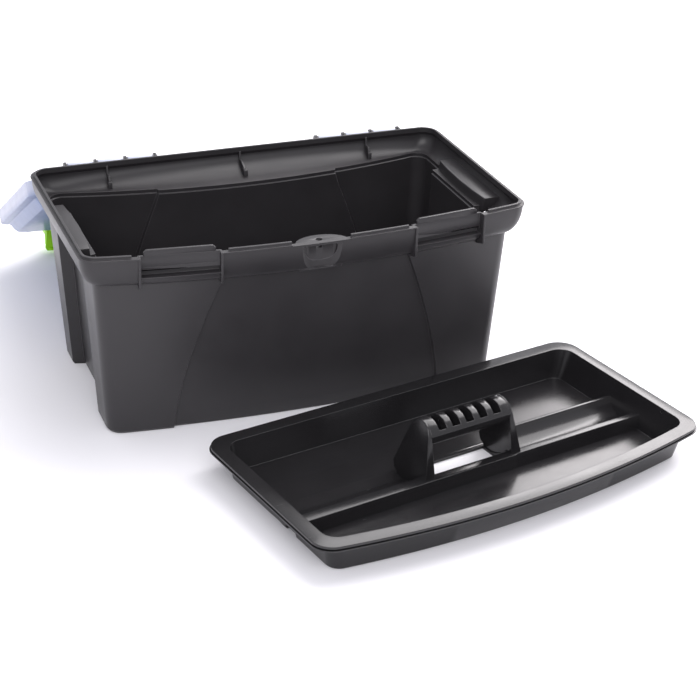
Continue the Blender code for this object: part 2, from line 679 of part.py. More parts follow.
def arc_between(start, end, sag, steps):
    """Points on the circular arc from start to end that hangs sag below the chord."""
    (y0, z0), (y1, z1) = start, end
    half = math.hypot(y1 - y0, z1 - z0) / 2
    radius = (half * half + sag * sag) / (2 * sag)
    middle = Vector(((y0 + y1) / 2, (z0 + z1) / 2))
    along = Vector((y1 - y0, z1 - z0)).normalized()
    down = Vector((along.y, -along.x))
    centre = middle - down * (radius - sag)
    reach = math.asin(half / radius)
    points = []
    for i in range(steps + 1):
        angle = -reach + 2 * reach * i / steps
        points.append(tuple(centre + radius * (math.sin(angle) * along + math.cos(angle) * down)))
    return points


def tray_spine(group):
    """Divider ridge of the front compartment with the half-pipe trough behind it."""
    trough = arc_between((-0.0350, RIDGE_Z), (0.0070, RIDGE_Z), 0.0138, 12)
    right = [(-0.0460, 0.0015), (-0.0418, RIDGE_Z)] + trough + [(0.0105, RIDGE_Z), (0.0140, 0.0015)]
    slope = arc_between((-0.0300, RIDGE_Z), (0.0150, 0.0032), 0.0062, 8)
    left = [(-0.0460, 0.0015), (-0.0432, RIDGE_Z)] + slope + [(0.0160, 0.0015)]
    seam = 0.050
    pieces = []
    for name, section, start, foot, lean in (("spine_right", right, seam, 0.2165, 0.32),
                                             ("spine_left", left, seam + 0.001, -0.2143, -0.18)):
        rings = [[(start, y, z) for y, z in section],
                 [(foot + lean * z, y, z) for y, z in section]]
        pieces.append(loft(name, rings, group))
    return pieces


def spine_hollows(group):
    """The ridges are open from below, like the rest of a thin moulding."""
    front_void = [(-0.0434, -0.002), (-0.0398, 0.0156), (-0.0358, 0.0156), (-0.0315, 0.0078),
                  (-0.0265, 0.0022), (-0.0260, -0.002)]
    back_void = [(-0.0005, -0.002), (0.0, 0.0026), (0.0052, 0.0092), (0.0084, 0.0156),
                 (0.0090, 0.0156), (0.0112, -0.002)]
    end = 0.2085
    start = 0.068
    middle = (start + end) / 2
    return [side_plate("front_void", front_void, end - start, middle, group),
            side_plate("front_void_left", front_void, end - start, -middle, group),
            side_plate("back_void", back_void, end - start, middle, group)]


def grip_end(sign, group):
    """Leg of the tray handle: a wedge, wide and round at the foot, its outer face leaning in."""
    foot = [(-0.0400, 0.0180), (-0.0375, 0.0110), (-0.0300, 0.0030), (-0.0120, 0.0012),
            (0.0060, 0.0030), (0.0160, 0.0080), (0.0195, 0.0150)]
    top = [(0.0025, 0.0620), (-0.0015, 0.0690), (-0.0075, 0.0736), (-0.0140, GRIP_TOP),
           (-0.0210, 0.0736), (-0.0270, 0.0695), (-0.0312, 0.0620)]
    rings = [[(GRIP_CENTRE + sign * 0.0490, y, z) for y, z in foot + top],
             [(GRIP_CENTRE + sign * (0.0638 - 0.17 * z), y, z) for y, z in foot + top]]
    return loft("grip_end", rings, group)


def grip_arch(group):
    profile = [(-0.0290, 0.0520), (-0.0318, 0.0575), (-0.0318, 0.0620), (-0.0280, 0.0685),
               (-0.0215, 0.0730), (-0.0140, GRIP_TOP - 0.0006), (-0.0070, 0.0730), (-0.0012, 0.0685),
               (0.0022, 0.0620), (0.0010, 0.0520)]
    return side_plate("grip_arch", profile, 0.1000, GRIP_CENTRE, group)


def grip_slots(group):
    """Five pockets between six ribs across the grip, and the hollow underneath it."""
    pitch = 0.0172
    pocket = [(-0.0292, 0.0600), (0.0, 0.0600), (0.0, 0.0850), (-0.0292, 0.0850)]
    slots = [side_plate("grip_slot", pocket, 0.0096, GRIP_CENTRE + pitch * (i - 2), group)
             for i in range(5)]
    hollow = [(-0.0262, 0.0400), (-0.0020, 0.0400), (-0.0020, 0.0576), (-0.0262, 0.0576)]
    slots.append(side_plate("grip_hollow", hollow, 0.0860, GRIP_CENTRE, group))
    return slots


def tray_cuts(group):
    """The opening in the floor below the grip and a notch in the foot of each end."""
    opening = [(-0.0480, -0.0325), (0.0460, -0.0325), (0.0460, 0.0095), (-0.0480, 0.0095)]
    cuts = [floor_plate("grip_opening", opening, -0.004, 0.030, group)]
    for side in (-1, 1):
        low, high = sorted((side * 0.2095, side * 0.2300))
        cuts.append(box("end_notch", (low, -0.0400, -0.002), (high, -0.0205, 0.0060), group))
        cuts.append(box("end_notch", (low, -0.0110, -0.002), (high, 0.0080, 0.0022), group))
    return cuts


def make_tray(group, tools, material):
    tray = tray_shell(group)
    additions = tray_spine(tools)
    boolean(tray, gather("tray_spine_tool", additions, tools), "UNION")
    boolean(tray, gather("tray_cuts", tray_cuts(tools) + spine_hollows(tools), tools), "DIFFERENCE")
    grip = [grip_end(-1, tools), grip_end(1, tools), grip_arch(tools)]
    boolean(tray, gather("tray_grip", grip, tools), "UNION")
    boolean(tray, gather("tray_grip_slots", grip_slots(tools), tools), "DIFFERENCE")
    finish(tray, material)
    return tray


# ---------------------------------------------------------------- placing
def turn_about_x(y, z, angle):
    return (Matrix.Translation((0, y, z)) @ Matrix.Rotation(angle, 4, "X")
            @ Matrix.Translation((0, -y, -z)))


def hanging_frame(pivot, axis):
    """Frame at a pivot with X along its axis and Z straight up as far as the axis allows."""
    x = Vector(axis).normalized()
    z = (Vector((0, 0, 1)) - x * x.z).normalized()
    y = z.cross(x)
    frame = Matrix((x, y, z)).transposed().to_4x4()
    frame.translation = pivot
    return frame


def place_tools(tools_for, matrix):
    """Move a piece's hidden tools with it."""
    for modifier in tools_for.modifiers:
        modifier.object.matrix_world = matrix


def place(obj, matrix):
    place_tools(obj, matrix)
    obj.matrix_world = matrix


def main():
    clear_scene()
    parts = make_collection("toolbox_with_tray")
    tools = make_collection("construction")
    charcoal = make_material("charcoal_plastic", (0.060, 0.060, 0.064), 0.38)
    black = make_material("black_plastic", (0.022, 0.021, 0.022), 0.24)
    clear_blue = make_material("translucent_blue", (0.55, 0.62, 0.78), 0.20, alpha=0.45)
    lime = make_material("lime_plastic", (0.33, 0.66, 0.01), 0.32)
    steel = make_material("hinge_steel", (0.42, 0.43, 0.45), 0.30, metallic=1.0)

    make_tub(parts, tools, charcoal)
    for name, sign in (("hinge_rod_left", -1), ("hinge_rod_right", 1)):
        rod = rod_along_x(name, sign * ROD_SPAN[0], sign * ROD_SPAN[1], HINGE_Y, HINGE_Z,
                          ROD_RADIUS, 16, parts)
        finish(rod, steel)

    swing = turn_about_x(HINGE_Y, HINGE_Z, -LID_OPEN)
    lid = make_lid(parts, tools, clear_blue)
    place(lid, swing)
    for name, sign in (("latch_left", -1), ("latch_right", 1)):
        latch = make_latch(name, parts, tools, lime)
        pivot = swing @ latch_frame(sign)
        axis = pivot.to_3x3() @ Vector((1, 0, 0))
        hang = hanging_frame(pivot.translation, axis)
        place(latch, hang @ Matrix.Rotation(math.pi, 4, "Z"))
    handle = make_handle(parts, tools, black)
    pivot = swing @ Vector((0, HANDLE_Y, LID_TOP + HANDLE_PIVOT_RISE))
    place(handle, Matrix.Translation(pivot) @ Matrix.Rotation(math.pi, 4, "X"))

    tray = make_tray(parts, tools, black)
    place(tray, Matrix.Translation(TRAY_PLACE) @ Matrix.Rotation(TRAY_YAW, 4, "Z"))


main()
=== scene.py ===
"""Looks for the open toolbox with its lift-out tray.

Every visible piece is built here at a finer grain than the collision model: smooth lofted
shells, separate ribs, fins, posts and lugs with rounded edges, and node-based plastics.
"""
import json
import math

import bmesh
import bpy
from mathutils import Matrix, Vector
from mathutils.bvhtree import BVHTree
from mathutils.interpolate import poly_3d_calc

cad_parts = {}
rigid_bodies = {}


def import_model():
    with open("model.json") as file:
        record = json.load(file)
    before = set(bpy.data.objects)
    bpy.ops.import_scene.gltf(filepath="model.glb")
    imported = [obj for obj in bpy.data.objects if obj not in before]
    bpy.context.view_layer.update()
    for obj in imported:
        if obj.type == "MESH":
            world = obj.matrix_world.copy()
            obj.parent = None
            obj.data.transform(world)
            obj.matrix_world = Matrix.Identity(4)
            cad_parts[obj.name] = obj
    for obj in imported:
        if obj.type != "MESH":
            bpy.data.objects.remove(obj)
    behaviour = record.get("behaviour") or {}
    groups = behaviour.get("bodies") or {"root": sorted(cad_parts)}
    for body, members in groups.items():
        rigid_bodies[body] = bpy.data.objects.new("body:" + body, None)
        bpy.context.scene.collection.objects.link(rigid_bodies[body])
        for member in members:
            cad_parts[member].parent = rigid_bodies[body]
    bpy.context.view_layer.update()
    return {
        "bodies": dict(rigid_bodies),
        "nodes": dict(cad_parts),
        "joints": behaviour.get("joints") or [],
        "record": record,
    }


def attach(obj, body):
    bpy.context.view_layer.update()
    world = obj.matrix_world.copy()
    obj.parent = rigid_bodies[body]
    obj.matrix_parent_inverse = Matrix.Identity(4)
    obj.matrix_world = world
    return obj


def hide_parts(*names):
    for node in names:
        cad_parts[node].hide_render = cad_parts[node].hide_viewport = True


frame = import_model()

# ---------------------------------------------------------------- camera
CAMERA_PLACE = (-0.581, -1.714, 0.935)
CAMERA_AZIMUTH = math.radians(-21.556)
CAMERA_ELEVATION = math.radians(26.997)
CAMERA_ROLL = math.radians(-1.449)
CAMERA_LENS = 89.03

# ---------------------------------------------------------------- driving dimensions
LENGTH = 0.500               # tub rim, overall
RIM_FRONT = -0.133           # front rim at the corners
RIM_BULGE = 0.0255           # how far the front rim bows out in the middle
RIM_BACK = 0.133
RIM_RADIUS = 0.019           # front corners
RIM_BACK_RADIUS = 0.021
RIM_Z = 0.218                # top of the raised bead
LIP_Z = 0.2155               # top of the lip outside the bead
COLLAR_Z = 0.182             # where the walls turn out into the collar
COVE_Z = 0.190               # where the collar's inner cove ends in a small step
WALL = 0.003
WALL_RINGS = tuple(0.003 + 0.1785 * i / 14 for i in range(1, 15))

BASE_HALF = 0.225
BASE_FRONT = -0.1145
BASE_BULGE = 0.016
BASE_BACK = 0.112
BASE_BOW = 0.024             # how far the back wall bows in
TOP_HALF = 0.2355            # the walls just below the collar
TOP_FRONT = -0.122
TOP_BULGE = 0.028
TOP_BACK = 0.1255
TOP_BOW = 0.031
WALL_RADIUS = 0.018
GUSSET_X = (-0.160, 0.0, 0.160)
GUSSET_TOP_Y = 0.1175
GUSSET_RISE = 0.0252         # how far the middle of the collar's sheet rises
PANEL_DEPTH = 0.004          # centre panel between the two creases
CREASE_BASE = 0.1545
CREASE_TOP = 0.1035
CREASE_CURVE = 1.5
BACK_CREASE = 0.0055         # how much further out the back wall's creases are
END_INSET = 0.0132           # end panel between the corner pillars
END_ZONE = (-0.062, 0.060)

HINGE_Y = 0.1405
HINGE_Z = 0.2110
ROD_RADIUS = 0.002
ROD_GAP = 0.0003
POST_X = (0.100, 0.1353, 0.1706, 0.206)
POST_WIDTH = 0.0026
KNUCKLE_WIDTH = 0.029
KNUCKLE_RADIUS = 0.0056
ROD_SPAN = (0.0965, 0.2095)

LID_OPEN = math.radians(209.4)
LID_BOTTOM = 0.2186
LID_SKIRT = 0.017
LID_TOP = 0.252
LID_WALL = 0.0024

SEAT_X = 0.1505              # centre of each latch seat
SEAT_HALF = 0.0413           # half the clear width between the fins
FIN_WIDTH = 0.0024
PLATE_BACK = 0.008           # seat plate behind the rim line
PLATE_TOP = 0.2213
PLATE_BOTTOM = 0.1990
SEAT_FLOOR = 0.1922

LATCH_Z = 0.227              # latch pivot, lid closed
LATCH_OUT = 0.0056           # latch pivot in front of the rim line
LATCH_PIN = 0.0022
LATCH_TOP_HALF = 0.0392
LATCH_DROP = 0.0500

HANDLE_Y = -0.013
HANDLE_PIVOT_RISE = 0.009    # above the top of the lid
HANDLE_HALF = 0.066
HANDLE_DROP = 0.040
HANDLE_PIN = 0.0025

TRAY_PLACE = (0.1021, -0.2880, 0.0)
TRAY_YAW = math.radians(11.4)
TRAY_HALF = 0.2376
TRAY_FRONT = -0.1176
TRAY_BULGE = 0.027
TRAY_BACK = 0.1176
TRAY_Z = 0.0369
TRAY_LIP_Z = 0.0318
TRAY_FLOOR = 0.003
TRAY_BASE_HALF = 0.2175
TRAY_BASE_FRONT = -0.1071
TRAY_BASE_BULGE = 0.0204
TRAY_WALL = 0.0024
RIDGE_Z = 0.018
GRIP_CENTRE = -0.002
GRIP_TOP = 0.075

ARC_STEPS = 14
COLLAR_STEPS = 16


def object_from_bmesh(name, bm, group):
    mesh = bpy.data.meshes.new(name)
    bmesh.ops.recalc_face_normals(bm, faces=bm.faces)
    bm.to_mesh(mesh)
    bm.free()
    obj = bpy.data.objects.new(name, mesh)
    group.objects.link(obj)
    return obj


def loft(name, rings, group):
    """Close a stack of rings, all with the same number of points, into one solid of quads."""
    bm = bmesh.new()
    loops = [[bm.verts.new(point) for point in ring] for ring in rings]
    count = len(loops[0])
    for lower, upper in zip(loops, loops[1:]):
        for i in range(count):
            j = (i + 1) % count
            bm.faces.new((lower[i], lower[j], upper[j], upper[i]))
    bm.faces.new(loops[0][::-1])
    bm.faces.new(loops[-1])
    return object_from_bmesh(name, bm, group)


def plate(name, outline, thickness, matrix, group):
    """Extrude a flat outline, drawn in the matrix's XY plane, half each way along its Z."""
    curve = bpy.data.curves.new(name, "CURVE")
    curve.dimensions = "2D"
    curve.fill_mode = "BOTH"
    curve.extrude = thickness / 2
    spline = curve.splines.new("POLY")
    spline.points.add(len(outline) - 1)
    for point, (x, y) in zip(spline.points, outline):
        point.co = (x, y, 0.0, 1.0)
    spline.use_cyclic_u = True
    return solid_from_curve(name, curve, matrix, group)


def solid_from_curve(name, curve, matrix, group):
    """Turn a curve with caps into a welded mesh, because a curve can't be cut or joined."""
    guide = bpy.data.objects.new(name + "_guide", curve)
    guide.matrix_world = matrix
    group.objects.link(guide)
    bpy.context.view_layer.update()
    depsgraph = bpy.context.evaluated_depsgraph_get()
    mesh = bpy.data.meshes.new_from_object(guide.evaluated_get(depsgraph))
    bm = bmesh.new()
    bm.from_mesh(mesh)
    bmesh.ops.remove_doubles(bm, verts=bm.verts, dist=0.00002)
    bmesh.ops.transform(bm, matrix=matrix, verts=bm.verts)
    bpy.data.objects.remove(guide, do_unlink=True)
    return object_from_bmesh(name, bm, group)


def side_plate(name, outline, width, x, group):
    """A plate drawn in Y and Z, its width along X, centred on x."""
    stand = Matrix(((0, 0, 1, x), (1, 0, 0, 0), (0, 1, 0, 0), (0, 0, 0, 1)))
    return plate(name, outline, width, stand, group)


def floor_plate(name, outline, bottom, top, group):
    """A plate drawn in X and Y between two heights."""
    return plate(name, outline, top - bottom, Matrix.Translation((0, 0, (top + bottom) / 2)), group)


def box(name, low, high, group):
    bm = bmesh.new()
    size = [b - a for a, b in zip(low, high)]
    centre = [(a + b) / 2 for a, b in zip(low, high)]
    matrix = Matrix.Translation(centre) @ Matrix.Diagonal((*size, 1.0))
    bmesh.ops.create_cube(bm, size=1.0, matrix=matrix)
    return object_from_bmesh(name, bm, group)


def rod_along_x(name, x0, x1, y, z, radius, segments, group):
    bm = bmesh.new()
    matrix = Matrix.Translation(((x0 + x1) / 2, y, z)) @ Matrix.Rotation(math.pi / 2, 4, "Y")
    bmesh.ops.create_cone(bm, cap_ends=True, segments=segments, radius1=radius, radius2=radius,
                          depth=abs(x1 - x0), matrix=matrix)
    return object_from_bmesh(name, bm, group)


def upright_cylinder(name, x, y, z0, z1, radius, segments, group):
    bm = bmesh.new()
    bmesh.ops.create_cone(bm, cap_ends=True, segments=segments, radius1=radius, radius2=radius,
                          depth=z1 - z0, matrix=Matrix.Translation((x, y, (z0 + z1) / 2)))
    return object_from_bmesh(name, bm, group)


def move(obj, matrix):
    obj.data.transform(matrix)
    return obj


def gather(name, pieces, group):
    """Join several solids into one object of separate bodies."""
    bm = bmesh.new()
    for piece in pieces:
        bm.from_mesh(piece.data)
        bpy.data.objects.remove(piece, do_unlink=True)
    return object_from_bmesh(name, bm, group)


def boolean(target, tool, operation):
    """Add or cut with a hidden tool object, and leave the modifier on the target."""
    tool.hide_render = True
    tool.display_type = "WIRE"
    modifier = target.modifiers.new(tool.name, "BOOLEAN")
    modifier.object = tool
    modifier.operation = operation
    modifier.solver = "EXACT"
    modifier.use_self = True


def front_line(x, half, end_y, bulge):
    return end_y - bulge * (1.0 - (x / half) ** 2)


def back_line(x, half, end_y, bow):
    return end_y - bow * (1.0 - (x / half) ** 2)


def corner(half, line, slope, radius, side):
    """Points of the round corner at +X between the front or back line and the end."""
    x = half - radius
    for _ in range(3):
        normal = Vector((-slope(x), 1.0)).normalized() * side
        x = half - radius + radius * normal.x
    centre = Vector((x, line(x))) - radius * normal
    edge_angle = math.atan2(normal.y, normal.x)
    points = []
    for i in range(ARC_STEPS + 1):
        angle = edge_angle * (1.0 - i / ARC_STEPS)
        points.append((centre.x + radius * math.cos(angle), centre.y + radius * math.sin(angle)))
    return points


def stations(crease, corner_x, panel):
    """X positions and set-back along half of a long side, from the middle out to its corner."""
    if crease is None:
        return [(f * corner_x, 0.0) for f in [i / 24 for i in range(24)]]
    step = 0.0009
    inside = [(f * crease, panel) for f in [i / 12 for i in range(12)]] + [(crease - step, panel)]
    outside = [(crease + f * (corner_x - crease), 0.0) for f in [i / 8 for i in range(1, 8)]]
    return inside + [(crease + step, 0.0)] + outside


def outline(half, front, bulge, back, bow, radius, crease=None, panel=0.0, end_inset=None,
            back_radius=None):
    """Anticlockwise outline from its +X half: straight ends, curved front and back lines.

    crease and panel set the centre panels back; end_inset sets the end panels back."""
    front_corner = corner(half, lambda x: front_line(x, half, front, bulge),
                          lambda x: 2 * bulge * x / half ** 2, radius, -1)
    back_corner = corner(half, lambda x: back_line(x, half, back, bow),
                         lambda x: 2 * bow * x / half ** 2, back_radius or radius, 1)[::-1]
    half_ring = [(x, front_line(x, half, front, bulge) + inset)
                 for x, inset in stations(crease, front_corner[0][0], panel)]
    half_ring += front_corner
    if end_inset is not None:
        low, high = END_ZONE
        step = 0.0018
        half_ring.append((half, low - step))
        half_ring += [(half - end_inset, y) for y in (low + step, 0.0, high - step)]
        half_ring.append((half, high + step))
    half_ring += back_corner
    back_crease = None if crease is None else crease + BACK_CREASE
    half_ring += [(x, back_line(x, half, back, bow) - inset)
                  for x, inset in stations(back_crease, back_corner[-1][0], panel)[::-1]]
    mirrored = [(-x, y) for x, y in half_ring[-2:0:-1]]
    return half_ring + mirrored


def at_height(points, z, shift=0.0):
    return [(x + shift, y, z) for x, y in points]


def mix(a, b, t):
    return a + (b - a) * t


def wall_ring(z, inset):
    """Outline of the walls below the collar at height z, moved in by inset."""
    t = z / COLLAR_Z
    half = mix(BASE_HALF, TOP_HALF, t) - inset
    return outline(half, mix(BASE_FRONT, TOP_FRONT, t) + inset, mix(BASE_BULGE, TOP_BULGE, t),
                   mix(BASE_BACK, TOP_BACK, t) - inset, mix(BASE_BOW, TOP_BOW, t),
                   WALL_RADIUS - inset, mix(CREASE_BASE, CREASE_TOP, t ** CREASE_CURVE), PANEL_DEPTH,
                   END_INSET)


def collar_ring(turn, inset):
    """Outline part way round the collar's quarter arc: turn 0 at the wall, 1 at the rim."""
    out = math.sin(turn * math.pi / 2)
    half = mix(TOP_HALF, LENGTH / 2, out) - inset
    keep = max(0.0, 1.0 - 6.0 * turn)
    return outline(half, mix(TOP_FRONT, RIM_FRONT, out) + inset, mix(TOP_BULGE, RIM_BULGE, out),
                   mix(TOP_BACK, RIM_BACK, out) - inset, mix(TOP_BOW, 0.0, out),
                   mix(WALL_RADIUS, RIM_RADIUS, out) - inset, CREASE_TOP, PANEL_DEPTH * keep,
                   END_INSET * keep, mix(WALL_RADIUS, RIM_BACK_RADIUS, out) - inset)


def collar_height(turn, rise):
    return COLLAR_Z + rise * (1.0 - math.cos(turn * math.pi / 2))


def tub_shell(group):
    """One closed loft: up the outside, over the lip and bead, and down the inside."""
    rings = [at_height(wall_ring(0.0, 0.002), 0.0), at_height(wall_ring(0.003, 0.0), 0.003)]
    rings += [at_height(wall_ring(z, 0.0), z) for z in WALL_RINGS]
    outer_rise = LIP_Z - 0.0016 - COLLAR_Z
    for i in range(COLLAR_STEPS + 1):
        turn = i / COLLAR_STEPS
        rings.append(at_height(collar_ring(turn, 0.0), collar_height(turn, outer_rise)))
    lip = [(LIP_Z - 0.0012, -0.0012), (LIP_Z, -0.0010), (LIP_Z, 0.0022), (RIM_Z, 0.0026),
           (RIM_Z, 0.0050), (LIP_Z - 0.003, 0.0054), (LIP_Z - 0.005, 0.0042)]
    rings += [at_height(collar_ring(1.0, inset), z) for z, inset in lip]
    inner_rise = LIP_Z - 0.007 - COVE_Z
    for i in range(COLLAR_STEPS, -1, -1):
        turn = i / COLLAR_STEPS
        z = COVE_Z + inner_rise * (1.0 - math.cos(turn * math.pi / 2))
        rings.append(at_height(collar_ring(turn, WALL), z))
    ledge = COVE_Z - 0.0042
    rings.append(at_height(wall_ring(COLLAR_Z, WALL), ledge))
    rings.append(at_height(wall_ring(COLLAR_Z, WALL + 0.0014), ledge - 0.0006))
    rings += [at_height(wall_ring(z, WALL), z) for z in WALL_RINGS[-2::-1]]
    rings.append(at_height(wall_ring(0.006, WALL), 0.006))
    rings.append(at_height(wall_ring(WALL, WALL + 0.0025), WALL))
    return loft("tub", rings, group)


def seat_frame(sign):
    """Local frame of a latch seat: X along the rim, Y out to the front, Z up, at the rim line."""
    x = SEAT_X
    y = front_line(x, LENGTH / 2, RIM_FRONT, RIM_BULGE)
    slope = math.atan(2 * RIM_BULGE * x / (LENGTH / 2) ** 2)
    frame = Matrix.Translation((sign * x, y, 0)) @ Matrix.Rotation(sign * slope, 4, "Z")
    return frame @ Matrix.Diagonal((1, -1, 1, 1))


def seat_additions(sign, group):
    frame = seat_frame(sign)
    half = SEAT_HALF + FIN_WIDTH / 2
    back = -PLATE_BACK - WALL
    pieces = [box("seat_wall", (-half, back, PLATE_BOTTOM), (half, -0.0012, LIP_Z - 0.0004), group),
              box("seat_pan", (-half, -0.0155, 0.1890), (half, -0.0048, 0.2030), group)]
    top = [(-0.0375, LIP_Z - 0.002), (0.0375, LIP_Z - 0.002), (0.0375, PLATE_TOP - 0.0025),
           (0.0345, PLATE_TOP), (-0.0345, PLATE_TOP), (-0.0375, PLATE_TOP - 0.0025)]
    upright = Matrix(((1, 0, 0, 0), (0, 0, -1, back + WALL / 2), (0, 1, 0, 0), (0, 0, 0, 1)))
    pieces.append(plate("seat_plate", top, WALL, upright, group))
    fin = [(-0.0110, LIP_Z - 0.0006), (0.0012, LIP_Z - 0.0006), (0.0008, 0.1815), (-0.0140, 0.1770),
           (-0.0152, 0.1920), (-0.0110, 0.1960)]
    for side in (-1, 1):
        pieces.append(side_plate("seat_fin", fin, FIN_WIDTH, side * (SEAT_HALF + FIN_WIDTH / 2), group))
    return [move(piece, frame) for piece in pieces]


def seat_cuts(sign, group):
    frame = seat_frame(sign)
    pieces = [box("seat_pocket", (-SEAT_HALF, -PLATE_BACK, PLATE_BOTTOM - 0.001),
                  (SEAT_HALF, 0.012, 0.226), group),
              box("seat_gap", (-SEAT_HALF, -0.0125, SEAT_FLOOR), (SEAT_HALF, 0.012, PLATE_BOTTOM), group)]
    return [move(piece, frame) for piece in pieces]


def bead_gaps(sign, group):
    """The raised bead stops beside each latch seat."""
    frame = seat_frame(sign)
    return [move(box("bead_gap", (-0.0500, -0.0105, LIP_Z), (-0.0376, 0.004, 0.224), group), frame),
            move(box("bead_gap", (0.0376, -0.0105, LIP_Z), (0.0500, 0.004, 0.224), group), frame)]


def padlock_tab(group):
    """Half-round shelf at the rim with a thumb scoop below it."""
    front = RIM_FRONT - RIM_BULGE
    half_width = 0.029
    depth = 0.0205
    rim = [(-half_width, front + 0.002), (half_width, front + 0.002)]
    for i in range(1, 12):
        angle = math.pi * i / 12
        rim.append((half_width * math.cos(angle), front + 0.002 + (depth - 0.002) * math.sin(angle)))
    shelf = floor_plate("padlock_shelf", rim, 0.2112, 0.2146, group)
    lens = [(-0.0235, front + 0.0052), (0.0235, front + 0.0052), (0.0225, front + 0.0068)]
    lens += [(0.016, front + 0.0103), (0.008, front + 0.0119), (0.0, front + 0.0124)]
    lens += [(-0.008, front + 0.0119), (-0.016, front + 0.0103), (-0.0225, front + 0.0068)]
    return [shelf, floor_plate("scoop_back", lens, 0.1820, 0.2125, group)]


def padlock_cuts(group):
    front = RIM_FRONT - RIM_BULGE
    scoop_radius = 0.035
    scoop = upright_cylinder("thumb_scoop", 0.0, front - scoop_radius + 0.008, 0.1835, 0.2114,
                             scoop_radius, 192, group)
    hole = upright_cylinder("padlock_hole", -0.001, front + 0.009, 0.205, 0.220, 0.0035, 20, group)
    gap = box("tab_gap", (-0.033, front - 0.003, 0.2146), (0.033, front + 0.012, 0.224), group)
    return [scoop, hole, gap]


def end_grips(group):
    """Shelf inside each end, over the finger pocket that opens below the collar."""
    solids = []
    cuts = []
    levels = [(0.1852, 0.0016, 0.2380), (0.1887, 0.0014, 0.2411), (0.1952, 0.0007, 0.2443),
              (0.2015, 0.0, 0.2471)]
    ridge = [(-0.0700, 0.2275), (-0.0420, 0.2250), (-0.0065, 0.2240), (0.0290, 0.2250), (0.0570, 0.2275)]
    for sign in (-1, 1):
        rings = []
        for z, slope, outer in levels:
            inner = [(sign * (x - slope), y, z) for y, x in ridge]
            rings.append([(sign * outer, 0.057, z), (sign * outer, -0.070, z)] + inner)
        solids.append(loft("end_shelf", rings, group))
        pocket = [(sign * x, y) for x, y in ((0.2432, -0.067), (0.2432, 0.054), (0.2312, 0.054),
                                             (0.2290, 0.030), (0.2282, -0.006), (0.2290, -0.042),
                                             (0.2312, -0.067))]
        cuts.append(floor_plate("finger_pocket", pocket, 0.170, 0.1985, group))
    return solids, cuts


def in_collar(wall_y, y):
    """Point (y, z) half way through the collar's sheet at the back, above a wall that ends at wall_y."""
    out = (y - wall_y + WALL / 2) / (RIM_BACK - wall_y)
    middle = (COLLAR_Z + COVE_Z) / 2
    return y, middle + GUSSET_RISE * (1.0 - math.sqrt(1.0 - out * out))


def gussets(group):
    """Three ribs that stiffen the back of the collar, thin above and thicker at the foot."""
    pieces = []
    for x in GUSSET_X:
        wall_y = back_line(x, TOP_HALF, TOP_BACK, TOP_BOW)
        foot = mix(wall_y, GUSSET_TOP_Y, 0.30)
        heel = mix(wall_y, GUSSET_TOP_Y, 0.75)
        rib = [in_collar(wall_y, foot + 0.002), in_collar(wall_y, heel), in_collar(wall_y, 0.1240),
               (RIM_BACK - 0.0015, 0.2075), (RIM_BACK - 0.0015, LIP_Z - 0.002),
               (RIM_BACK - 0.0070, LIP_Z - 0.002), (RIM_BACK - 0.0080, 0.2042),
               (GUSSET_TOP_Y, 0.2040), (foot + 0.002, 0.1960)]
        block = [in_collar(wall_y, foot), in_collar(wall_y, heel + 0.0015), (heel + 0.0010, 0.1985),
                 (foot + 0.0012, 0.1985)]
        pieces.append(side_plate("back_gusset", rib, 0.0022, x, group))
        pieces.append(side_plate("gusset_foot", block, 0.0044, x, group))
    return pieces


def hinge_posts(group):
    post = [(RIM_BACK - 0.002, 0.2035), (0.1400, 0.2030), (0.1458, 0.2072), (0.1470, 0.2120),
            (0.1448, 0.2165), (0.1400, 0.2184), (RIM_BACK - 0.002, 0.2178)]
    return [side_plate("hinge_post", post, POST_WIDTH, sign * x, group)
            for sign in (-1, 1) for x in POST_X]


def lid_ring(inset):
    return outline(LENGTH / 2 - inset, RIM_FRONT + inset, RIM_BULGE, RIM_BACK - inset, 0.0,
                   max(RIM_RADIUS - 0.5 * inset, 0.012))


def lid_shell(group):
    """One closed loft: dome, shoulder and skirt outside, then back up the inside."""
    skirt = LID_BOTTOM + LID_SKIRT
    outer = [(LID_BOTTOM, 0.0), (skirt, 0.0008), (skirt + 0.0014, 0.0026), (skirt + 0.0022, 0.0095),
             (skirt + 0.0050, 0.0122), (LID_TOP - 0.0060, 0.0150), (LID_TOP - 0.0018, 0.0185),
             (LID_TOP, 0.0250)]
    inner = [(LID_TOP - LID_WALL, 0.0258), (LID_TOP - 0.0040, 0.0202), (LID_TOP - 0.0074, 0.0174),
             (skirt + 0.0030, 0.0146), (skirt - 0.0004, 0.0118), (skirt - 0.0012, 0.0042),
             (skirt - 0.0022, 0.0032), (LID_BOTTOM, LID_WALL)]
    rings = [at_height(lid_ring(inset), z) for z, inset in outer[::-1] + inner[::-1]]
    return loft("lid", rings, group)


def lid_knuckles(group):
    """Three barrels on each side of the back edge, between the tub's posts."""
    arm = [(-0.0090, 0.0087), (-0.0090, 0.0175), (-0.0030, 0.0167), (0.0022, 0.0125),
           (0.0054, 0.0030), (0.0055, 0.0), (0.0, -0.001), (-0.0040, 0.0062), (-0.0060, 0.0085)]
    arm = [(HINGE_Y + y, HINGE_Z + z) for y, z in arm]
    pieces = []
    for sign in (-1, 1):
        for low, high in zip(POST_X, POST_X[1:]):
            x = sign * (low + high) / 2
            pieces.append(side_plate("knuckle_arm", arm, KNUCKLE_WIDTH, x, group))
            pieces.append(rod_along_x("knuckle", x - KNUCKLE_WIDTH / 2, x + KNUCKLE_WIDTH / 2,
                                      HINGE_Y, HINGE_Z, KNUCKLE_RADIUS, 20, group))
    return pieces


def latch_frame(sign):
    """Latch pivot frame with the lid closed: X along the pivot, Y out to the front, Z up."""
    return seat_frame(sign) @ Matrix.Translation((0, LATCH_OUT, LATCH_Z))


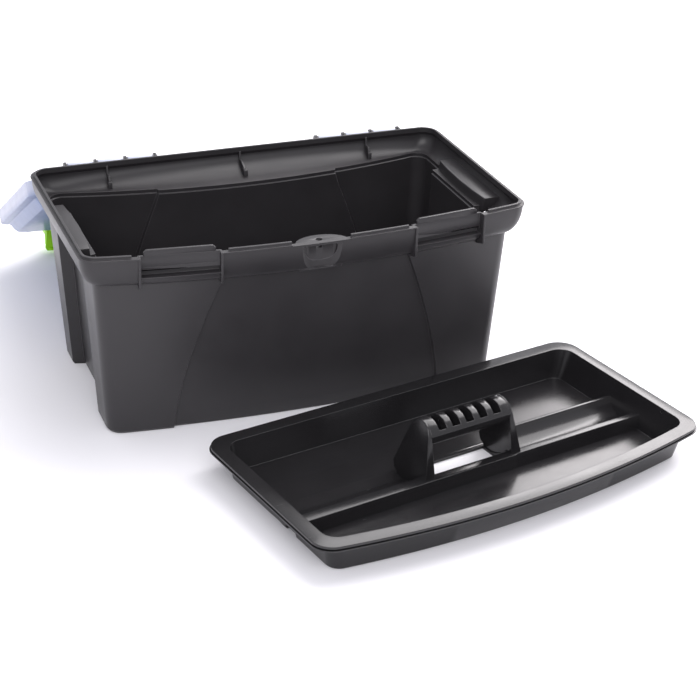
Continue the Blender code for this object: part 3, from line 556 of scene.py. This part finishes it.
def latch_lugs(sign, group):
    """Two ears on the skirt that carry the ends of one latch's pivot."""
    ear = [(-0.0085, -0.0060), (0.0010, -0.0050), (0.0044, -0.0015), (0.0044, 0.0018),
           (0.0015, 0.0044), (-0.0085, 0.0044)]
    pieces = []
    for side in (-1, 1):
        lug = side_plate("latch_lug", ear, 0.0042, side * 0.0418, group)
        pieces.append(move(lug, latch_frame(sign)))
    return pieces


def latch_lug_bores(sign, group):
    bores = []
    for side in (-1, 1):
        bore = rod_along_x("latch_lug_bore", side * 0.0380, side * 0.0450, 0, 0,
                           LATCH_PIN + ROD_GAP, 14, group)
        bores.append(move(bore, latch_frame(sign)))
    return bores


def handle_lugs(group):
    """Ears on the dome for the carry handle."""
    top = LID_TOP
    pivot = HANDLE_PIVOT_RISE
    ear = [(HANDLE_Y - 0.011, top - 0.0012), (HANDLE_Y + 0.011, top - 0.0012),
           (HANDLE_Y + 0.006, top + pivot + 0.003), (HANDLE_Y + 0.003, top + pivot + 0.0055),
           (HANDLE_Y - 0.003, top + pivot + 0.0055), (HANDLE_Y - 0.006, top + pivot + 0.003)]
    return [side_plate("handle_lug", ear, 0.006, side * (HANDLE_HALF + 0.0035), group)
            for side in (-1, 1)]


def handle_bores(group):
    return [rod_along_x("handle_bore", side * (HANDLE_HALF - 0.002), side * (HANDLE_HALF + 0.010),
                        HANDLE_Y, LID_TOP + HANDLE_PIVOT_RISE, HANDLE_PIN + ROD_GAP, 16, group)
            for side in (-1, 1)]


def post_notches(group):
    """Room in the skirt for the posts that stand above the tub's rim."""
    half = POST_WIDTH / 2 + 0.0013
    return [box("post_notch", (sign * x - half, 0.1265, 0.2150), (sign * x + half, 0.1500, 0.2228), group)
            for sign in (-1, 1) for x in POST_X]


def tray_ring(half, front, bulge, back, radius):
    return outline(half, front, bulge, back, 0.0, radius)


def tray_shell(group):
    """One closed loft: base, wall, hanging lip, flat rim and the inside down to the floor."""
    wall_top = (0.2255, TRAY_BASE_FRONT - 0.004, TRAY_BASE_BULGE + 0.004, 0.1042)
    inner_top = (0.2230, TRAY_BASE_FRONT + 0.0025, TRAY_BASE_BULGE + 0.004, 0.1008)
    rim = (TRAY_HALF, TRAY_FRONT, TRAY_BULGE, TRAY_BACK)
    lip = (TRAY_HALF + 0.001, TRAY_FRONT - 0.001, TRAY_BULGE, TRAY_BACK + 0.001)
    lip_in = (TRAY_HALF - 0.0015, TRAY_FRONT + 0.0015, TRAY_BULGE, TRAY_BACK - 0.0015)
    groove = (TRAY_HALF - 0.0012, TRAY_FRONT + 0.0012, TRAY_BULGE, TRAY_BACK - 0.0012)
    edge = (TRAY_HALF - 0.0002, TRAY_FRONT + 0.0002, TRAY_BULGE, TRAY_BACK - 0.0002)
    edge_top = (TRAY_HALF - 0.0008, TRAY_FRONT + 0.0008, TRAY_BULGE, TRAY_BACK - 0.0008)
    base = (TRAY_BASE_HALF, TRAY_BASE_FRONT, TRAY_BASE_BULGE, 0.0995)
    foot = (TRAY_BASE_HALF - 0.0015, TRAY_BASE_FRONT + 0.0015, TRAY_BASE_BULGE, 0.0980)
    floor = (0.2143, TRAY_BASE_FRONT + 0.0035, TRAY_BASE_BULGE, 0.0969)
    under = TRAY_Z - TRAY_WALL
    stack = [(0.0, foot, 0.014, 0.0015), (0.0015, base, 0.015, 0.0015), (under, wall_top, 0.018, 0.0035),
             (under, lip_in, 0.022, 0.0023), (TRAY_LIP_Z, lip_in, 0.022, 0.0023),
             (TRAY_LIP_Z, lip, 0.024, 0.0023), (TRAY_LIP_Z + 0.0011, lip, 0.024, 0.0023),
             (TRAY_LIP_Z + 0.0015, groove, 0.0236, 0.0023), (TRAY_LIP_Z + 0.0021, groove, 0.0236, 0.0023),
             (TRAY_LIP_Z + 0.0025, rim, 0.024, 0.0023), (TRAY_Z - 0.0006, rim, 0.024, 0.0023),
             (TRAY_Z - 0.0002, edge, 0.0238, 0.0023), (TRAY_Z, edge_top, 0.0234, 0.0023),
             (TRAY_Z, inner_top, 0.018, 0.0036),
             (TRAY_FLOOR, floor, 0.012, 0.0010)]
    rings = [at_height(tray_ring(*size, radius), z, shift) for z, size, radius, shift in stack]
    return loft("tray", rings, group)


def arc_between(start, end, sag, steps):
    """Points on the circular arc from start to end that hangs sag below the chord."""
    (y0, z0), (y1, z1) = start, end
    half = math.hypot(y1 - y0, z1 - z0) / 2
    radius = (half * half + sag * sag) / (2 * sag)
    middle = Vector(((y0 + y1) / 2, (z0 + z1) / 2))
    along = Vector((y1 - y0, z1 - z0)).normalized()
    down = Vector((along.y, -along.x))
    centre = middle - down * (radius - sag)
    reach = math.asin(half / radius)
    points = []
    for i in range(steps + 1):
        angle = -reach + 2 * reach * i / steps
        points.append(tuple(centre + radius * (math.sin(angle) * along + math.cos(angle) * down)))
    return points


def tray_spine(group):
    """Divider ridge of the front compartment with the half-pipe trough behind it."""
    trough = arc_between((-0.0350, RIDGE_Z), (0.0070, RIDGE_Z), 0.0138, 12)
    right = [(-0.0460, 0.0015), (-0.0418, RIDGE_Z)] + trough + [(0.0105, RIDGE_Z), (0.0140, 0.0015)]
    slope = arc_between((-0.0300, RIDGE_Z), (0.0150, 0.0032), 0.0062, 8)
    left = [(-0.0460, 0.0015), (-0.0432, RIDGE_Z)] + slope + [(0.0160, 0.0015)]
    seam = 0.050
    pieces = []
    for name, section, start, foot, lean in (("spine_right", right, seam, 0.2165, 0.32),
                                             ("spine_left", left, seam + 0.001, -0.2143, -0.18)):
        rings = [[(start, y, z) for y, z in section],
                 [(foot + lean * z, y, z) for y, z in section]]
        pieces.append(loft(name, rings, group))
    return pieces


def grip_end(sign, group):
    """Leg of the tray handle: a wedge, wide and round at the foot, its outer face leaning in."""
    foot = [(-0.0400, 0.0180), (-0.0375, 0.0110), (-0.0300, 0.0030), (-0.0120, 0.0012),
            (0.0060, 0.0030), (0.0160, 0.0080), (0.0195, 0.0150)]
    top = [(0.0025, 0.0620), (-0.0015, 0.0690), (-0.0075, 0.0736), (-0.0140, GRIP_TOP),
           (-0.0210, 0.0736), (-0.0270, 0.0695), (-0.0312, 0.0620)]
    rings = [[(GRIP_CENTRE + sign * 0.0490, y, z) for y, z in foot + top],
             [(GRIP_CENTRE + sign * (0.0638 - 0.17 * z), y, z) for y, z in foot + top]]
    return loft("grip_end", rings, group)


def grip_arch(group):
    profile = [(-0.0290, 0.0520), (-0.0318, 0.0575), (-0.0318, 0.0620), (-0.0280, 0.0685),
               (-0.0215, 0.0730), (-0.0140, GRIP_TOP - 0.0006), (-0.0070, 0.0730), (-0.0012, 0.0685),
               (0.0022, 0.0620), (0.0010, 0.0520)]
    return side_plate("grip_arch", profile, 0.1000, GRIP_CENTRE, group)


def grip_slots(group):
    """Five pockets between six ribs across the grip, and the hollow underneath it."""
    pitch = 0.0172
    pocket = [(-0.0292, 0.0586), (0.0, 0.0586), (0.0, 0.0850), (-0.0292, 0.0850)]
    slots = [side_plate("grip_slot", pocket, 0.0096, GRIP_CENTRE + pitch * (i - 2), group)
             for i in range(5)]
    hollow = [(-0.0262, 0.0400), (-0.0020, 0.0400), (-0.0020, 0.0576), (-0.0262, 0.0576)]
    slots.append(side_plate("grip_hollow", hollow, 0.0860, GRIP_CENTRE, group))
    return slots


def tray_cuts(group):
    """The opening in the floor below the grip and a notch in the foot of each end."""
    opening = [(-0.0480, -0.0325), (0.0460, -0.0325), (0.0460, 0.0095), (-0.0480, 0.0095)]
    cuts = [floor_plate("grip_opening", opening, -0.004, 0.030, group)]
    for side in (-1, 1):
        low, high = sorted((side * 0.2095, side * 0.2300))
        cuts.append(box("end_notch", (low, -0.0400, -0.002), (high, -0.0205, 0.0060), group))
        cuts.append(box("end_notch", (low, -0.0110, -0.002), (high, 0.0080, 0.0022), group))
    return cuts


def turn_about_x(y, z, angle):
    return (Matrix.Translation((0, y, z)) @ Matrix.Rotation(angle, 4, "X")
            @ Matrix.Translation((0, -y, -z)))


def hanging_frame(pivot, axis):
    """Frame at a pivot with X along its axis and Z straight up as far as the axis allows."""
    x = Vector(axis).normalized()
    z = (Vector((0, 0, 1)) - x * x.z).normalized()
    y = z.cross(x)
    frame = Matrix((x, y, z)).transposed().to_4x4()
    frame.translation = pivot
    return frame


# ---------------------------------------------------------------- finishing pieces
def baked(obj):
    """Apply a piece's modifiers and remove the tools they used."""
    bpy.context.view_layer.update()
    depsgraph = bpy.context.evaluated_depsgraph_get()
    mesh = bpy.data.meshes.new_from_object(obj.evaluated_get(depsgraph))
    tools = [m.object for m in obj.modifiers if m.type == "BOOLEAN"]
    obj.modifiers.clear()
    obj.data = mesh
    for tool in tools:
        bpy.data.objects.remove(tool, do_unlink=True)
    return obj


def smoothed(obj, angle=35.0):
    obj.data.shade_smooth()
    obj.data.set_sharp_from_angle(angle=math.radians(angle))
    return obj


def rounded(obj, width=0.0004, steps=2, angle=35.0):
    """Cut the tools in, then round every hard edge."""
    baked(obj)
    bevel = obj.modifiers.new("round", "BEVEL")
    bevel.width = width
    bevel.segments = steps
    bevel.limit_method = "ANGLE"
    bevel.angle_limit = math.radians(angle)
    bevel.harden_normals = False
    baked(obj)
    return smoothed(obj, angle)


def cut_shell(obj, tools):
    """Cut a smooth shell, and keep the uncut shell's shading on what is left of it."""
    smoothed(obj, 33.0)
    clean = obj.data.copy()
    corners = [Vector(c.vector) for c in clean.corner_normals]
    tree = BVHTree.FromPolygons([v.co for v in clean.vertices], [tuple(p.vertices) for p in clean.polygons])
    for operation, tool in tools:
        boolean(obj, tool, operation)
    baked(obj)
    mesh = obj.data
    mesh.shade_smooth()
    normals = [None] * len(mesh.loops)
    for face in mesh.polygons:
        centre = face.center
        for loop in face.loop_indices:
            place = mesh.vertices[mesh.loops[loop].vertex_index].co
            normals[loop] = face.normal.copy()
            inside = place + (centre - place).normalized() * 0.00012
            hit, _, index, distance = tree.find_nearest(inside)
            if hit is None or distance > 0.00015:
                continue
            source = clean.polygons[index]
            if source.normal.dot(face.normal) < 0.93:
                continue
            weights = poly_3d_calc([clean.vertices[v].co for v in source.vertices], hit)
            blend = Vector()
            for weight, corner_loop in zip(weights, source.loop_indices):
                blend += corners[corner_loop] * weight
            if blend.length > 0.5:
                normals[loop] = blend.normalized()
    mesh.normals_split_custom_set([tuple(n) for n in normals])
    bpy.data.meshes.remove(clean)
    return obj


def grown(tool, amount=0.00006):
    """Push a cutter's faces out a little, so that what it cuts stays clear of the shell's own cut faces."""
    mesh = tool.data
    normals = [v.normal.copy() for v in mesh.vertices]
    for vertex, normal in zip(mesh.vertices, normals):
        vertex.co += normal * amount * 1.7
    return tool


def show(obj, name, node, body, material, matrix=None):
    obj.name = name
    obj.data.name = name
    obj.data.materials.clear()
    obj.data.materials.append(material)
    if matrix is not None:
        obj.matrix_world = matrix
        bpy.context.view_layer.update()
    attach(obj, body)
    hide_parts(node)
    return obj


# ---------------------------------------------------------------- materials
def add(tree, kind, **inputs):
    """Add a node; each keyword sets an input by name, with _ for spaces, or links an output to it."""
    node = tree.nodes.new(kind)
    for key, value in inputs.items():
        socket = node.inputs[key.replace("_", " ")] if isinstance(key, str) else node.inputs[key]
        if isinstance(value, bpy.types.NodeSocket):
            tree.links.new(value, socket)
        else:
            socket.default_value = value
    return node


def ramp(tree, value, low, high, low_value, high_value):
    node = add(tree, "ShaderNodeMapRange", Value=value)
    limits = (("From Min", low), ("From Max", high), ("To Min", low_value), ("To Max", high_value))
    for key, number in limits:
        node.inputs[key].default_value = number
    return node.outputs["Result"]


def blend_colour(tree, factor, first, second):
    node = tree.nodes.new("ShaderNodeMix")
    node.data_type = "RGBA"
    for index, value in ((0, factor), (6, first), (7, second)):
        if isinstance(value, bpy.types.NodeSocket):
            tree.links.new(value, node.inputs[index])
        else:
            node.inputs[index].default_value = value
    return node.outputs[2]


def plastic(name, colour, rough, grain=0.10, grain_scale=1700.0, spread=0.06, edge_highlight=0.25, edge=0.0007,
            specular=0.5, streaks=0.05, highlight_lift=1.35):
    """Moulded plastic: fine spark-eroded grain, cloudy gloss, faint rubbing streaks, rounded edges with a
    painted highlight that lightens their colour.
    """
    material = bpy.data.materials.new(name)
    material.use_nodes = True
    tree = material.node_tree
    shader = tree.nodes["Principled BSDF"]
    place = add(tree, "ShaderNodeTexCoord").outputs["Object"]
    cloud = add(tree, "ShaderNodeTexNoise", Vector=place, Scale=22.0, Detail=4.0, Roughness=0.6)
    flow = add(tree, "ShaderNodeMapping", Vector=place, Scale=(14.0, 420.0, 260.0))
    streak = add(tree, "ShaderNodeTexNoise", Vector=flow.outputs[0], Scale=1.0, Detail=3.0, Roughness=0.55)
    speck = add(tree, "ShaderNodeTexNoise", Vector=place, Scale=grain_scale, Detail=2.0, Roughness=0.5)
    pits = add(tree, "ShaderNodeTexVoronoi", Vector=place, Scale=grain_scale * 0.45)
    round_edge = add(tree, "ShaderNodeBevel", Radius=edge)
    round_edge.samples = 6
    flat = add(tree, "ShaderNodeNewGeometry")
    facing = tree.nodes.new("ShaderNodeVectorMath")
    facing.operation = "DOT_PRODUCT"
    tree.links.new(round_edge.outputs[0], facing.inputs[0])
    tree.links.new(flat.outputs["Normal"], facing.inputs[1])
    # Painted highlight: the colour turns paler where the rounded-edge normal leans off the face, standing
    # in for light caught on the edges.
    edge_highlight_mask = ramp(tree, facing.outputs["Value"], 0.995, 0.80, 0.0, edge_highlight)
    tone = ramp(tree, cloud.outputs["Fac"], 0.3, 0.7, 0.0, 1.0)
    dark = tuple(c * (1.0 - spread) for c in colour) + (1.0,)
    light = tuple(c * (1.0 + spread) for c in colour) + (1.0,)
    highlight_colour = tuple(min(1.0, c * highlight_lift + 0.02) for c in colour) + (1.0,)
    body = blend_colour(tree, tone, dark, light)
    tree.links.new(blend_colour(tree, edge_highlight_mask, body, highlight_colour), shader.inputs["Base Color"])
    gloss = ramp(tree, cloud.outputs["Fac"], 0.3, 0.7, rough - spread * 0.6, rough + spread * 0.6)
    scuff = ramp(tree, streak.outputs["Fac"], 0.62, 0.75, 0.0, streaks)
    total = tree.nodes.new("ShaderNodeMath")
    total.operation = "ADD"
    tree.links.new(gloss, total.inputs[0])
    tree.links.new(scuff, total.inputs[1])
    tree.links.new(total.outputs[0], shader.inputs["Roughness"])
    shader.inputs["Specular IOR Level"].default_value = specular
    fine = add(tree, "ShaderNodeBump", Strength=grain, Distance=0.00006, Height=speck.outputs["Fac"],
               Normal=round_edge.outputs[0])
    pitted = add(tree, "ShaderNodeBump", Strength=grain * 0.6, Distance=0.00005,
                 Height=pits.outputs["Distance"], Normal=fine.outputs[0])
    tree.links.new(pitted.outputs[0], shader.inputs["Normal"])
    return material


def clear_plastic(name, colour, rough, through, glow):
    """Frosted see-through moulding: part lets light straight through, part scatters it on."""
    material = plastic(name, colour, rough, grain=0.02, spread=0.04, edge_highlight=0.35, edge=0.0009, streaks=0.02)
    tree = material.node_tree
    shader = tree.nodes["Principled BSDF"]
    height = add(tree, "ShaderNodeSeparateXYZ", Vector=add(tree, "ShaderNodeTexCoord").outputs["Object"])
    # Painted light: the lid's lower sides are painted a pale lit colour, which turns to the body colour
    # towards the top.
    painted_glow_fade = ramp(tree, height.outputs["Z"], LID_BOTTOM + 0.010, LID_TOP - 0.012, 0.0, 1.0)
    body = shader.inputs["Base Color"].links[0].from_socket
    tree.links.new(blend_colour(tree, painted_glow_fade, (0.62, 0.65, 0.76, 1.0), body), shader.inputs["Base Color"])
    output = tree.nodes["Material Output"]
    clear = add(tree, "ShaderNodeBsdfTransparent", Color=(*[0.25 + 0.75 * c for c in colour], 1.0))
    scatter = add(tree, "ShaderNodeBsdfTranslucent", Color=(*colour, 1.0))
    place = add(tree, "ShaderNodeTexCoord").outputs["Object"]
    milk = add(tree, "ShaderNodeTexNoise", Vector=place, Scale=60.0, Detail=3.0)
    soft = add(tree, "ShaderNodeMixShader", Fac=glow)
    tree.links.new(shader.outputs[0], soft.inputs[1])
    tree.links.new(scatter.outputs[0], soft.inputs[2])
    clearness = ramp(tree, milk.outputs["Fac"], 0.3, 0.7, through - 0.04, through + 0.04)
    veil = add(tree, "ShaderNodeMixShader", Fac=clearness)
    tree.links.new(soft.outputs[0], veil.inputs[1])
    tree.links.new(clear.outputs[0], veil.inputs[2])
    tree.links.new(veil.outputs[0], output.inputs["Surface"])
    return material


def steel(name):
    """Drawn wire: rings of fine marks round the rod and cloudy dullness."""
    material = bpy.data.materials.new(name)
    material.use_nodes = True
    tree = material.node_tree
    shader = tree.nodes["Principled BSDF"]
    place = add(tree, "ShaderNodeTexCoord").outputs["Object"]
    along = add(tree, "ShaderNodeMapping", Vector=place, Scale=(30.0, 2600.0, 2600.0))
    marks = add(tree, "ShaderNodeTexNoise", Vector=along.outputs[0], Scale=1.0, Detail=4.0)
    tone = ramp(tree, marks.outputs["Fac"], 0.3, 0.7, 0.0, 1.0)
    tree.links.new(blend_colour(tree, tone, (0.36, 0.37, 0.39, 1.0), (0.55, 0.56, 0.58, 1.0)),
                   shader.inputs["Base Color"])
    tree.links.new(ramp(tree, marks.outputs["Fac"], 0.3, 0.7, 0.22, 0.40), shader.inputs["Roughness"])
    shader.inputs["Metallic"].default_value = 1.0
    bump = add(tree, "ShaderNodeBump", Strength=0.15, Distance=0.00005, Height=marks.outputs["Fac"])
    tree.links.new(bump.outputs[0], shader.inputs["Normal"])
    return material


# ---------------------------------------------------------------- the pieces
def build_tub(tools, material):
    def put(obj, name):
        show(obj, name, "tub", "tub", material)

    shelves, pockets = end_grips(tools)
    cuts = seat_cuts(-1, tools) + seat_cuts(1, tools) + bead_gaps(-1, tools) + bead_gaps(1, tools)
    cuts += padlock_cuts(tools) + pockets
    shell = cut_shell(tub_shell(tools), [("DIFFERENCE", gather("tub_cuts", cuts, tools))])
    put(shell, "tub_shell")
    for side, sign in (("left", -1), ("right", 1)):
        wall, pan, face, fin_a, fin_b = seat_additions(sign, tools)
        for piece in (wall, pan):
            cutters = [grown(tool) for tool in seat_cuts(sign, tools)]
            boolean(piece, gather("seat_cutter", cutters, tools), "DIFFERENCE")
        labelled = ((wall, "wall"), (pan, "pan"), (face, "plate"), (fin_a, "fin_a"), (fin_b, "fin_b"))
        for piece, label in labelled:
            put(rounded(piece, 0.0004), f"seat_{side}_{label}")
    tab, scoop = padlock_tab(tools)
    tab.data.transform(Matrix.Translation((0, 0, -0.0001)))
    for piece, label, edge in ((tab, "padlock_tab", 0.0004), (scoop, "thumb_scoop", 0.00005)):
        cutters = [grown(tool) for tool in padlock_cuts(tools)]
        boolean(piece, gather(label + "_cutter", cutters, tools), "DIFFERENCE")
        put(rounded(piece, edge), label)
    spare, more_pockets = end_grips(tools)
    for piece in spare:
        bpy.data.objects.remove(piece, do_unlink=True)
    for index, (shelf, pocket) in enumerate(zip(shelves, more_pockets)):
        boolean(shelf, pocket, "DIFFERENCE")
        put(rounded(shelf, 0.0008, 3), "end_shelf_" + "lr"[index])
    for index, rib in enumerate(gussets(tools)):
        put(rounded(rib, 0.0004), f"back_gusset_{index}")
    for index, post in enumerate(hinge_posts(tools)):
        put(rounded(post, 0.0004), f"hinge_post_{index}")


def build_rods(tools, material):
    for name, sign in (("hinge_rod_left", -1), ("hinge_rod_right", 1)):
        rod = rod_along_x(name + "_wire", sign * ROD_SPAN[0], sign * ROD_SPAN[1], HINGE_Y, HINGE_Z,
                          ROD_RADIUS, 32, tools)
        show(rounded(rod, 0.0005, 3), name + "_wire", name, BODY[name], material)


def build_lid(tools, material, swing):
    def put(obj, name):
        show(obj, name, "lid", "lid", material, swing)

    shell = cut_shell(lid_shell(tools), [("DIFFERENCE", gather("lid_cuts", post_notches(tools), tools))])
    put(shell, "lid_shell")
    for index, piece in enumerate(lid_knuckles(tools)):
        put(rounded(piece, 0.0004), f"knuckle_{index}")
    for index, piece in enumerate(handle_lugs(tools)):
        boolean(piece, gather("lug_cutter", handle_bores(tools), tools), "DIFFERENCE")
        put(rounded(piece, 0.0005), f"handle_lug_{index}")
    for sign in (-1, 1):
        for index, piece in enumerate(latch_lugs(sign, tools)):
            boolean(piece, gather("latch_cutter", latch_lug_bores(sign, tools), tools), "DIFFERENCE")
            put(rounded(piece, 0.0004), f"latch_lug_{'lr'[(sign + 1) // 2]}{index}")


def build_latch(name, tools, material, matrix):
    half = LATCH_TOP_HALF
    barrel = rod_along_x(name + "_barrel", -half, half, 0, 0, 0.0036, 32, tools)
    pins = rod_along_x(name + "_pins", -0.0434, 0.0434, 0, 0, LATCH_PIN, 24, tools)
    paddle_outline = [(-half, 0.0006), (half, 0.0006), (half, -0.0090), (half - 0.0055, -0.0115),
                      (half - 0.0035, -LATCH_DROP + 0.004), (half - 0.0060, -LATCH_DROP),
                      (-half + 0.0060, -LATCH_DROP), (-half + 0.0035, -LATCH_DROP + 0.004),
                      (-half + 0.0055, -0.0115), (-half, -0.0090)]
    upright = Matrix(((1, 0, 0, 0), (0, 0, 1, 0.0036), (0, 1, 0, 0), (0, 0, 0, 1)))
    pieces = [(barrel, "barrel"), (pins, "pins"),
              (plate(name + "_paddle", paddle_outline, 0.0030, upright, tools), "paddle"),
              (box(name + "_hook", (-0.0330, -0.0164, -0.0316), (0.0330, 0.0026, -0.0288), tools), "hook"),
              (box(name + "_lip", (-0.0300, 0.0030, -LATCH_DROP + 0.0008),
                   (0.0300, 0.0072, -LATCH_DROP + 0.0042), tools), "lip"),
              (box(name + "_web", (-0.0352, -0.0020, -0.0420), (-0.0332, 0.0026, -0.0020), tools), "web_a"),
              (box(name + "_web", (0.0332, -0.0020, -0.0420), (0.0352, 0.0026, -0.0020), tools), "web_b")]
    for piece, label in pieces:
        show(rounded(piece, 0.0005, 3), f"{name}_{label}", name, name, material, matrix)


def build_handle(tools, material, matrix):
    leg = HANDLE_HALF - 0.0072
    curve = bpy.data.curves.new("carry_grip", "CURVE")
    curve.dimensions = "3D"
    curve.bevel_depth = 0.0065
    curve.bevel_resolution = 8
    curve.use_fill_caps = True
    spline = curve.splines.new("POLY")
    bend = 0.012
    turns = [math.pi * i / 20 for i in range(11)]
    route = [(-leg, 0.0, -0.001)]
    route += [(-leg + bend * (1 - math.cos(a)), 0.0, HANDLE_DROP - bend * (1 - math.sin(a))) for a in turns]
    route += [(-x, y, z) for x, y, z in route[::-1]]
    spline.points.add(len(route) - 1)
    for point, place in zip(spline.points, route):
        point.co = (*place, 1.0)
    pieces = [(solid_from_curve("carry_grip", curve, Matrix.Identity(4), tools), "carry_grip")]
    for side, label in ((-1, "l"), (1, "r")):
        hub = rod_along_x("hub", side * (HANDLE_HALF - 0.0105), side * (HANDLE_HALF - 0.0002), 0, 0,
                          0.0070, 32, tools)
        pieces.append((hub, "carry_hub_" + label))
        pin = rod_along_x("pin", side * (HANDLE_HALF - 0.006), side * (HANDLE_HALF + 0.0060), 0, 0,
                          HANDLE_PIN, 24, tools)
        pieces.append((pin, "carry_pin_" + label))
    for piece, name in pieces:
        show(rounded(piece, 0.0004), name, "carry_handle", "carry_handle",
             material, matrix)


def build_tray(tools, material, matrix):
    def put(obj, name):
        show(obj, name, "tray", "tray", material, matrix)

    cuts = gather("tray_cuts", tray_cuts(tools), tools)
    put(cut_shell(tray_shell(tools), [("DIFFERENCE", cuts)]), "tray_shell")
    for piece in tray_spine(tools):
        boolean(piece, gather("spine_cutter", tray_cuts(tools), tools), "DIFFERENCE")
        put(rounded(piece, 0.0006, 3, 30.0), "tray_" + piece.name)
    for sign, label in ((-1, "left"), (1, "right")):
        put(rounded(grip_end(sign, tools), 0.0009, 3, 30.0), "grip_leg_" + label)
    arch = grip_arch(tools)
    boolean(arch, gather("grip_slots", grip_slots(tools), tools), "DIFFERENCE")
    put(rounded(arch, 0.0006, 3, 30.0), "grip_arch")


# ---------------------------------------------------------------- the set
def make_camera():
    ca, sa = math.cos(CAMERA_AZIMUTH), math.sin(CAMERA_AZIMUTH)
    ce, se = math.cos(CAMERA_ELEVATION), math.sin(CAMERA_ELEVATION)
    forward = Vector((-sa * ce, ca * ce, -se))
    level = Vector((ca, sa, 0.0))
    down = forward.cross(level)
    right = level * math.cos(CAMERA_ROLL) + down * math.sin(CAMERA_ROLL)
    down = down * math.cos(CAMERA_ROLL) - level * math.sin(CAMERA_ROLL)
    matrix = Matrix((right, -down, -forward)).transposed().to_4x4()
    matrix.translation = CAMERA_PLACE
    data = bpy.data.cameras.new("camera")
    data.sensor_width = 36.0
    data.lens = CAMERA_LENS
    data.clip_end = 50.0
    camera = bpy.data.objects.new("camera", data)
    camera.matrix_world = matrix
    bpy.context.scene.collection.objects.link(camera)
    bpy.context.scene.camera = camera


def area(name, place, aim, size, radiance, colour=(1, 1, 1)):
    """A rectangular softbox given by how bright its face is."""
    data = bpy.data.lights.new(name, "AREA")
    data.shape = "RECTANGLE"
    data.size, data.size_y = size
    data.energy = radiance * math.pi * size[0] * size[1]
    data.color = colour
    lamp = bpy.data.objects.new(name, data)
    bpy.context.scene.collection.objects.link(lamp)
    direction = Vector(aim) - Vector(place)
    lamp.matrix_world = Matrix.Translation(place) @ direction.to_track_quat("-Z", "Y").to_matrix().to_4x4()
    return lamp


def at_angle(azimuth, elevation, distance, origin=(0.1, -0.2, 0.05)):
    """A place seen from the object at that heading (0 along +Y, 90 along +X) and height angle."""
    a, e = math.radians(azimuth), math.radians(elevation)
    return tuple(Vector(origin) + distance * Vector((math.sin(a) * math.cos(e), math.cos(a) * math.cos(e),
                                                     math.sin(e))))


def make_floor():
    mesh = bpy.data.meshes.new("floor")
    bm = bmesh.new()
    bmesh.ops.create_grid(bm, x_segments=1, y_segments=1, size=15)
    bm.to_mesh(mesh)
    bm.free()
    floor = bpy.data.objects.new("floor", mesh)
    floor.location.z = -0.0002
    bpy.context.scene.collection.objects.link(floor)
    material = bpy.data.materials.new("floor")
    material.use_nodes = True
    shader = material.node_tree.nodes["Principled BSDF"]
    shader.inputs["Base Color"].default_value = (0.88, 0.875, 0.90, 1.0)
    shader.inputs["Roughness"].default_value = 0.9
    shader.inputs["Specular IOR Level"].default_value = 0.1
    mesh.materials.append(material)


def make_world():
    world = bpy.data.worlds.new("world")
    world.use_nodes = True
    background = world.node_tree.nodes["Background"]
    background.inputs[0].default_value = (0.95, 0.95, 1.0, 1.0)
    background.inputs[1].default_value = WORLD_LEVEL
    bpy.context.scene.world = world


# ---------------------------------------------------------------- set-up
WORLD_LEVEL = 0.84
# name, (azimuth, elevation, distance), aim, size, radiance, colour
LIGHTS = (
    ("overhead", (48, 57, 2.6), (0.05, -0.1, 0.1), (2.6, 2.2), 4.3, (1.0, 0.975, 0.985)),
    ("back_panel", (56, 30, 3.0), (0.1, -0.2, 0.05), (2.4, 1.1), 6.6, (1.0, 0.955, 0.965)),
    ("front_fill", (-155, 38, 3.0), (0.0, -0.1, 0.1), (2.4, 1.8), 3.6, (1.0, 0.98, 1.0)),
)

make_camera()
make_floor()
make_world()
bpy.context.scene.view_settings.view_transform = "Standard"
for name, direction, aim, size, radiance, colour in LIGHTS:
    area(name, at_angle(*direction), aim, size, radiance, colour)

BODY = {"hinge_rod_left": "tub", "hinge_rod_right": "tub"}
tools = bpy.data.collections.new("pieces")
bpy.context.scene.collection.children.link(tools)
# In each plastic, the edge strength and lift arguments set how strongly its edges are painted pale as a
# painted highlight.
charcoal = plastic("tub_charcoal", (0.022, 0.0205, 0.0224), 0.38, edge_highlight=0.7, highlight_lift=5.0, specular=0.42)
black = plastic("tray_black", (0.012, 0.0115, 0.0125), 0.22, grain=0.05, grain_scale=2200.0,
                edge_highlight=0.5, highlight_lift=4.0)
lid_blue = clear_plastic("lid_blue", (0.25, 0.32, 0.50), 0.24, 0.08, 0.22)
lime = plastic("latch_lime", (0.30, 0.70, 0.003), 0.30, edge_highlight=0.2)
grip_black = plastic("grip_black", (0.013, 0.013, 0.0135), 0.34, edge_highlight=0.5, highlight_lift=4.0)
wire = steel("hinge_wire")

build_tub(tools, charcoal)
build_rods(tools, wire)
swing = turn_about_x(HINGE_Y, HINGE_Z, -LID_OPEN)
build_lid(tools, lid_blue, swing)
for name, sign in (("latch_left", -1), ("latch_right", 1)):
    pivot = swing @ latch_frame(sign)
    hang = hanging_frame(pivot.translation, pivot.to_3x3() @ Vector((1, 0, 0)))
    build_latch(name, tools, lime, hang @ Matrix.Rotation(math.pi, 4, "Z"))
pivot = swing @ Vector((0, HANDLE_Y, LID_TOP + HANDLE_PIVOT_RISE))
build_handle(tools, grip_black, Matrix.Translation(pivot) @ Matrix.Rotation(math.pi, 4, "X"))
build_tray(tools, black, Matrix.Translation(TRAY_PLACE) @ Matrix.Rotation(TRAY_YAW, 4, "Z"))
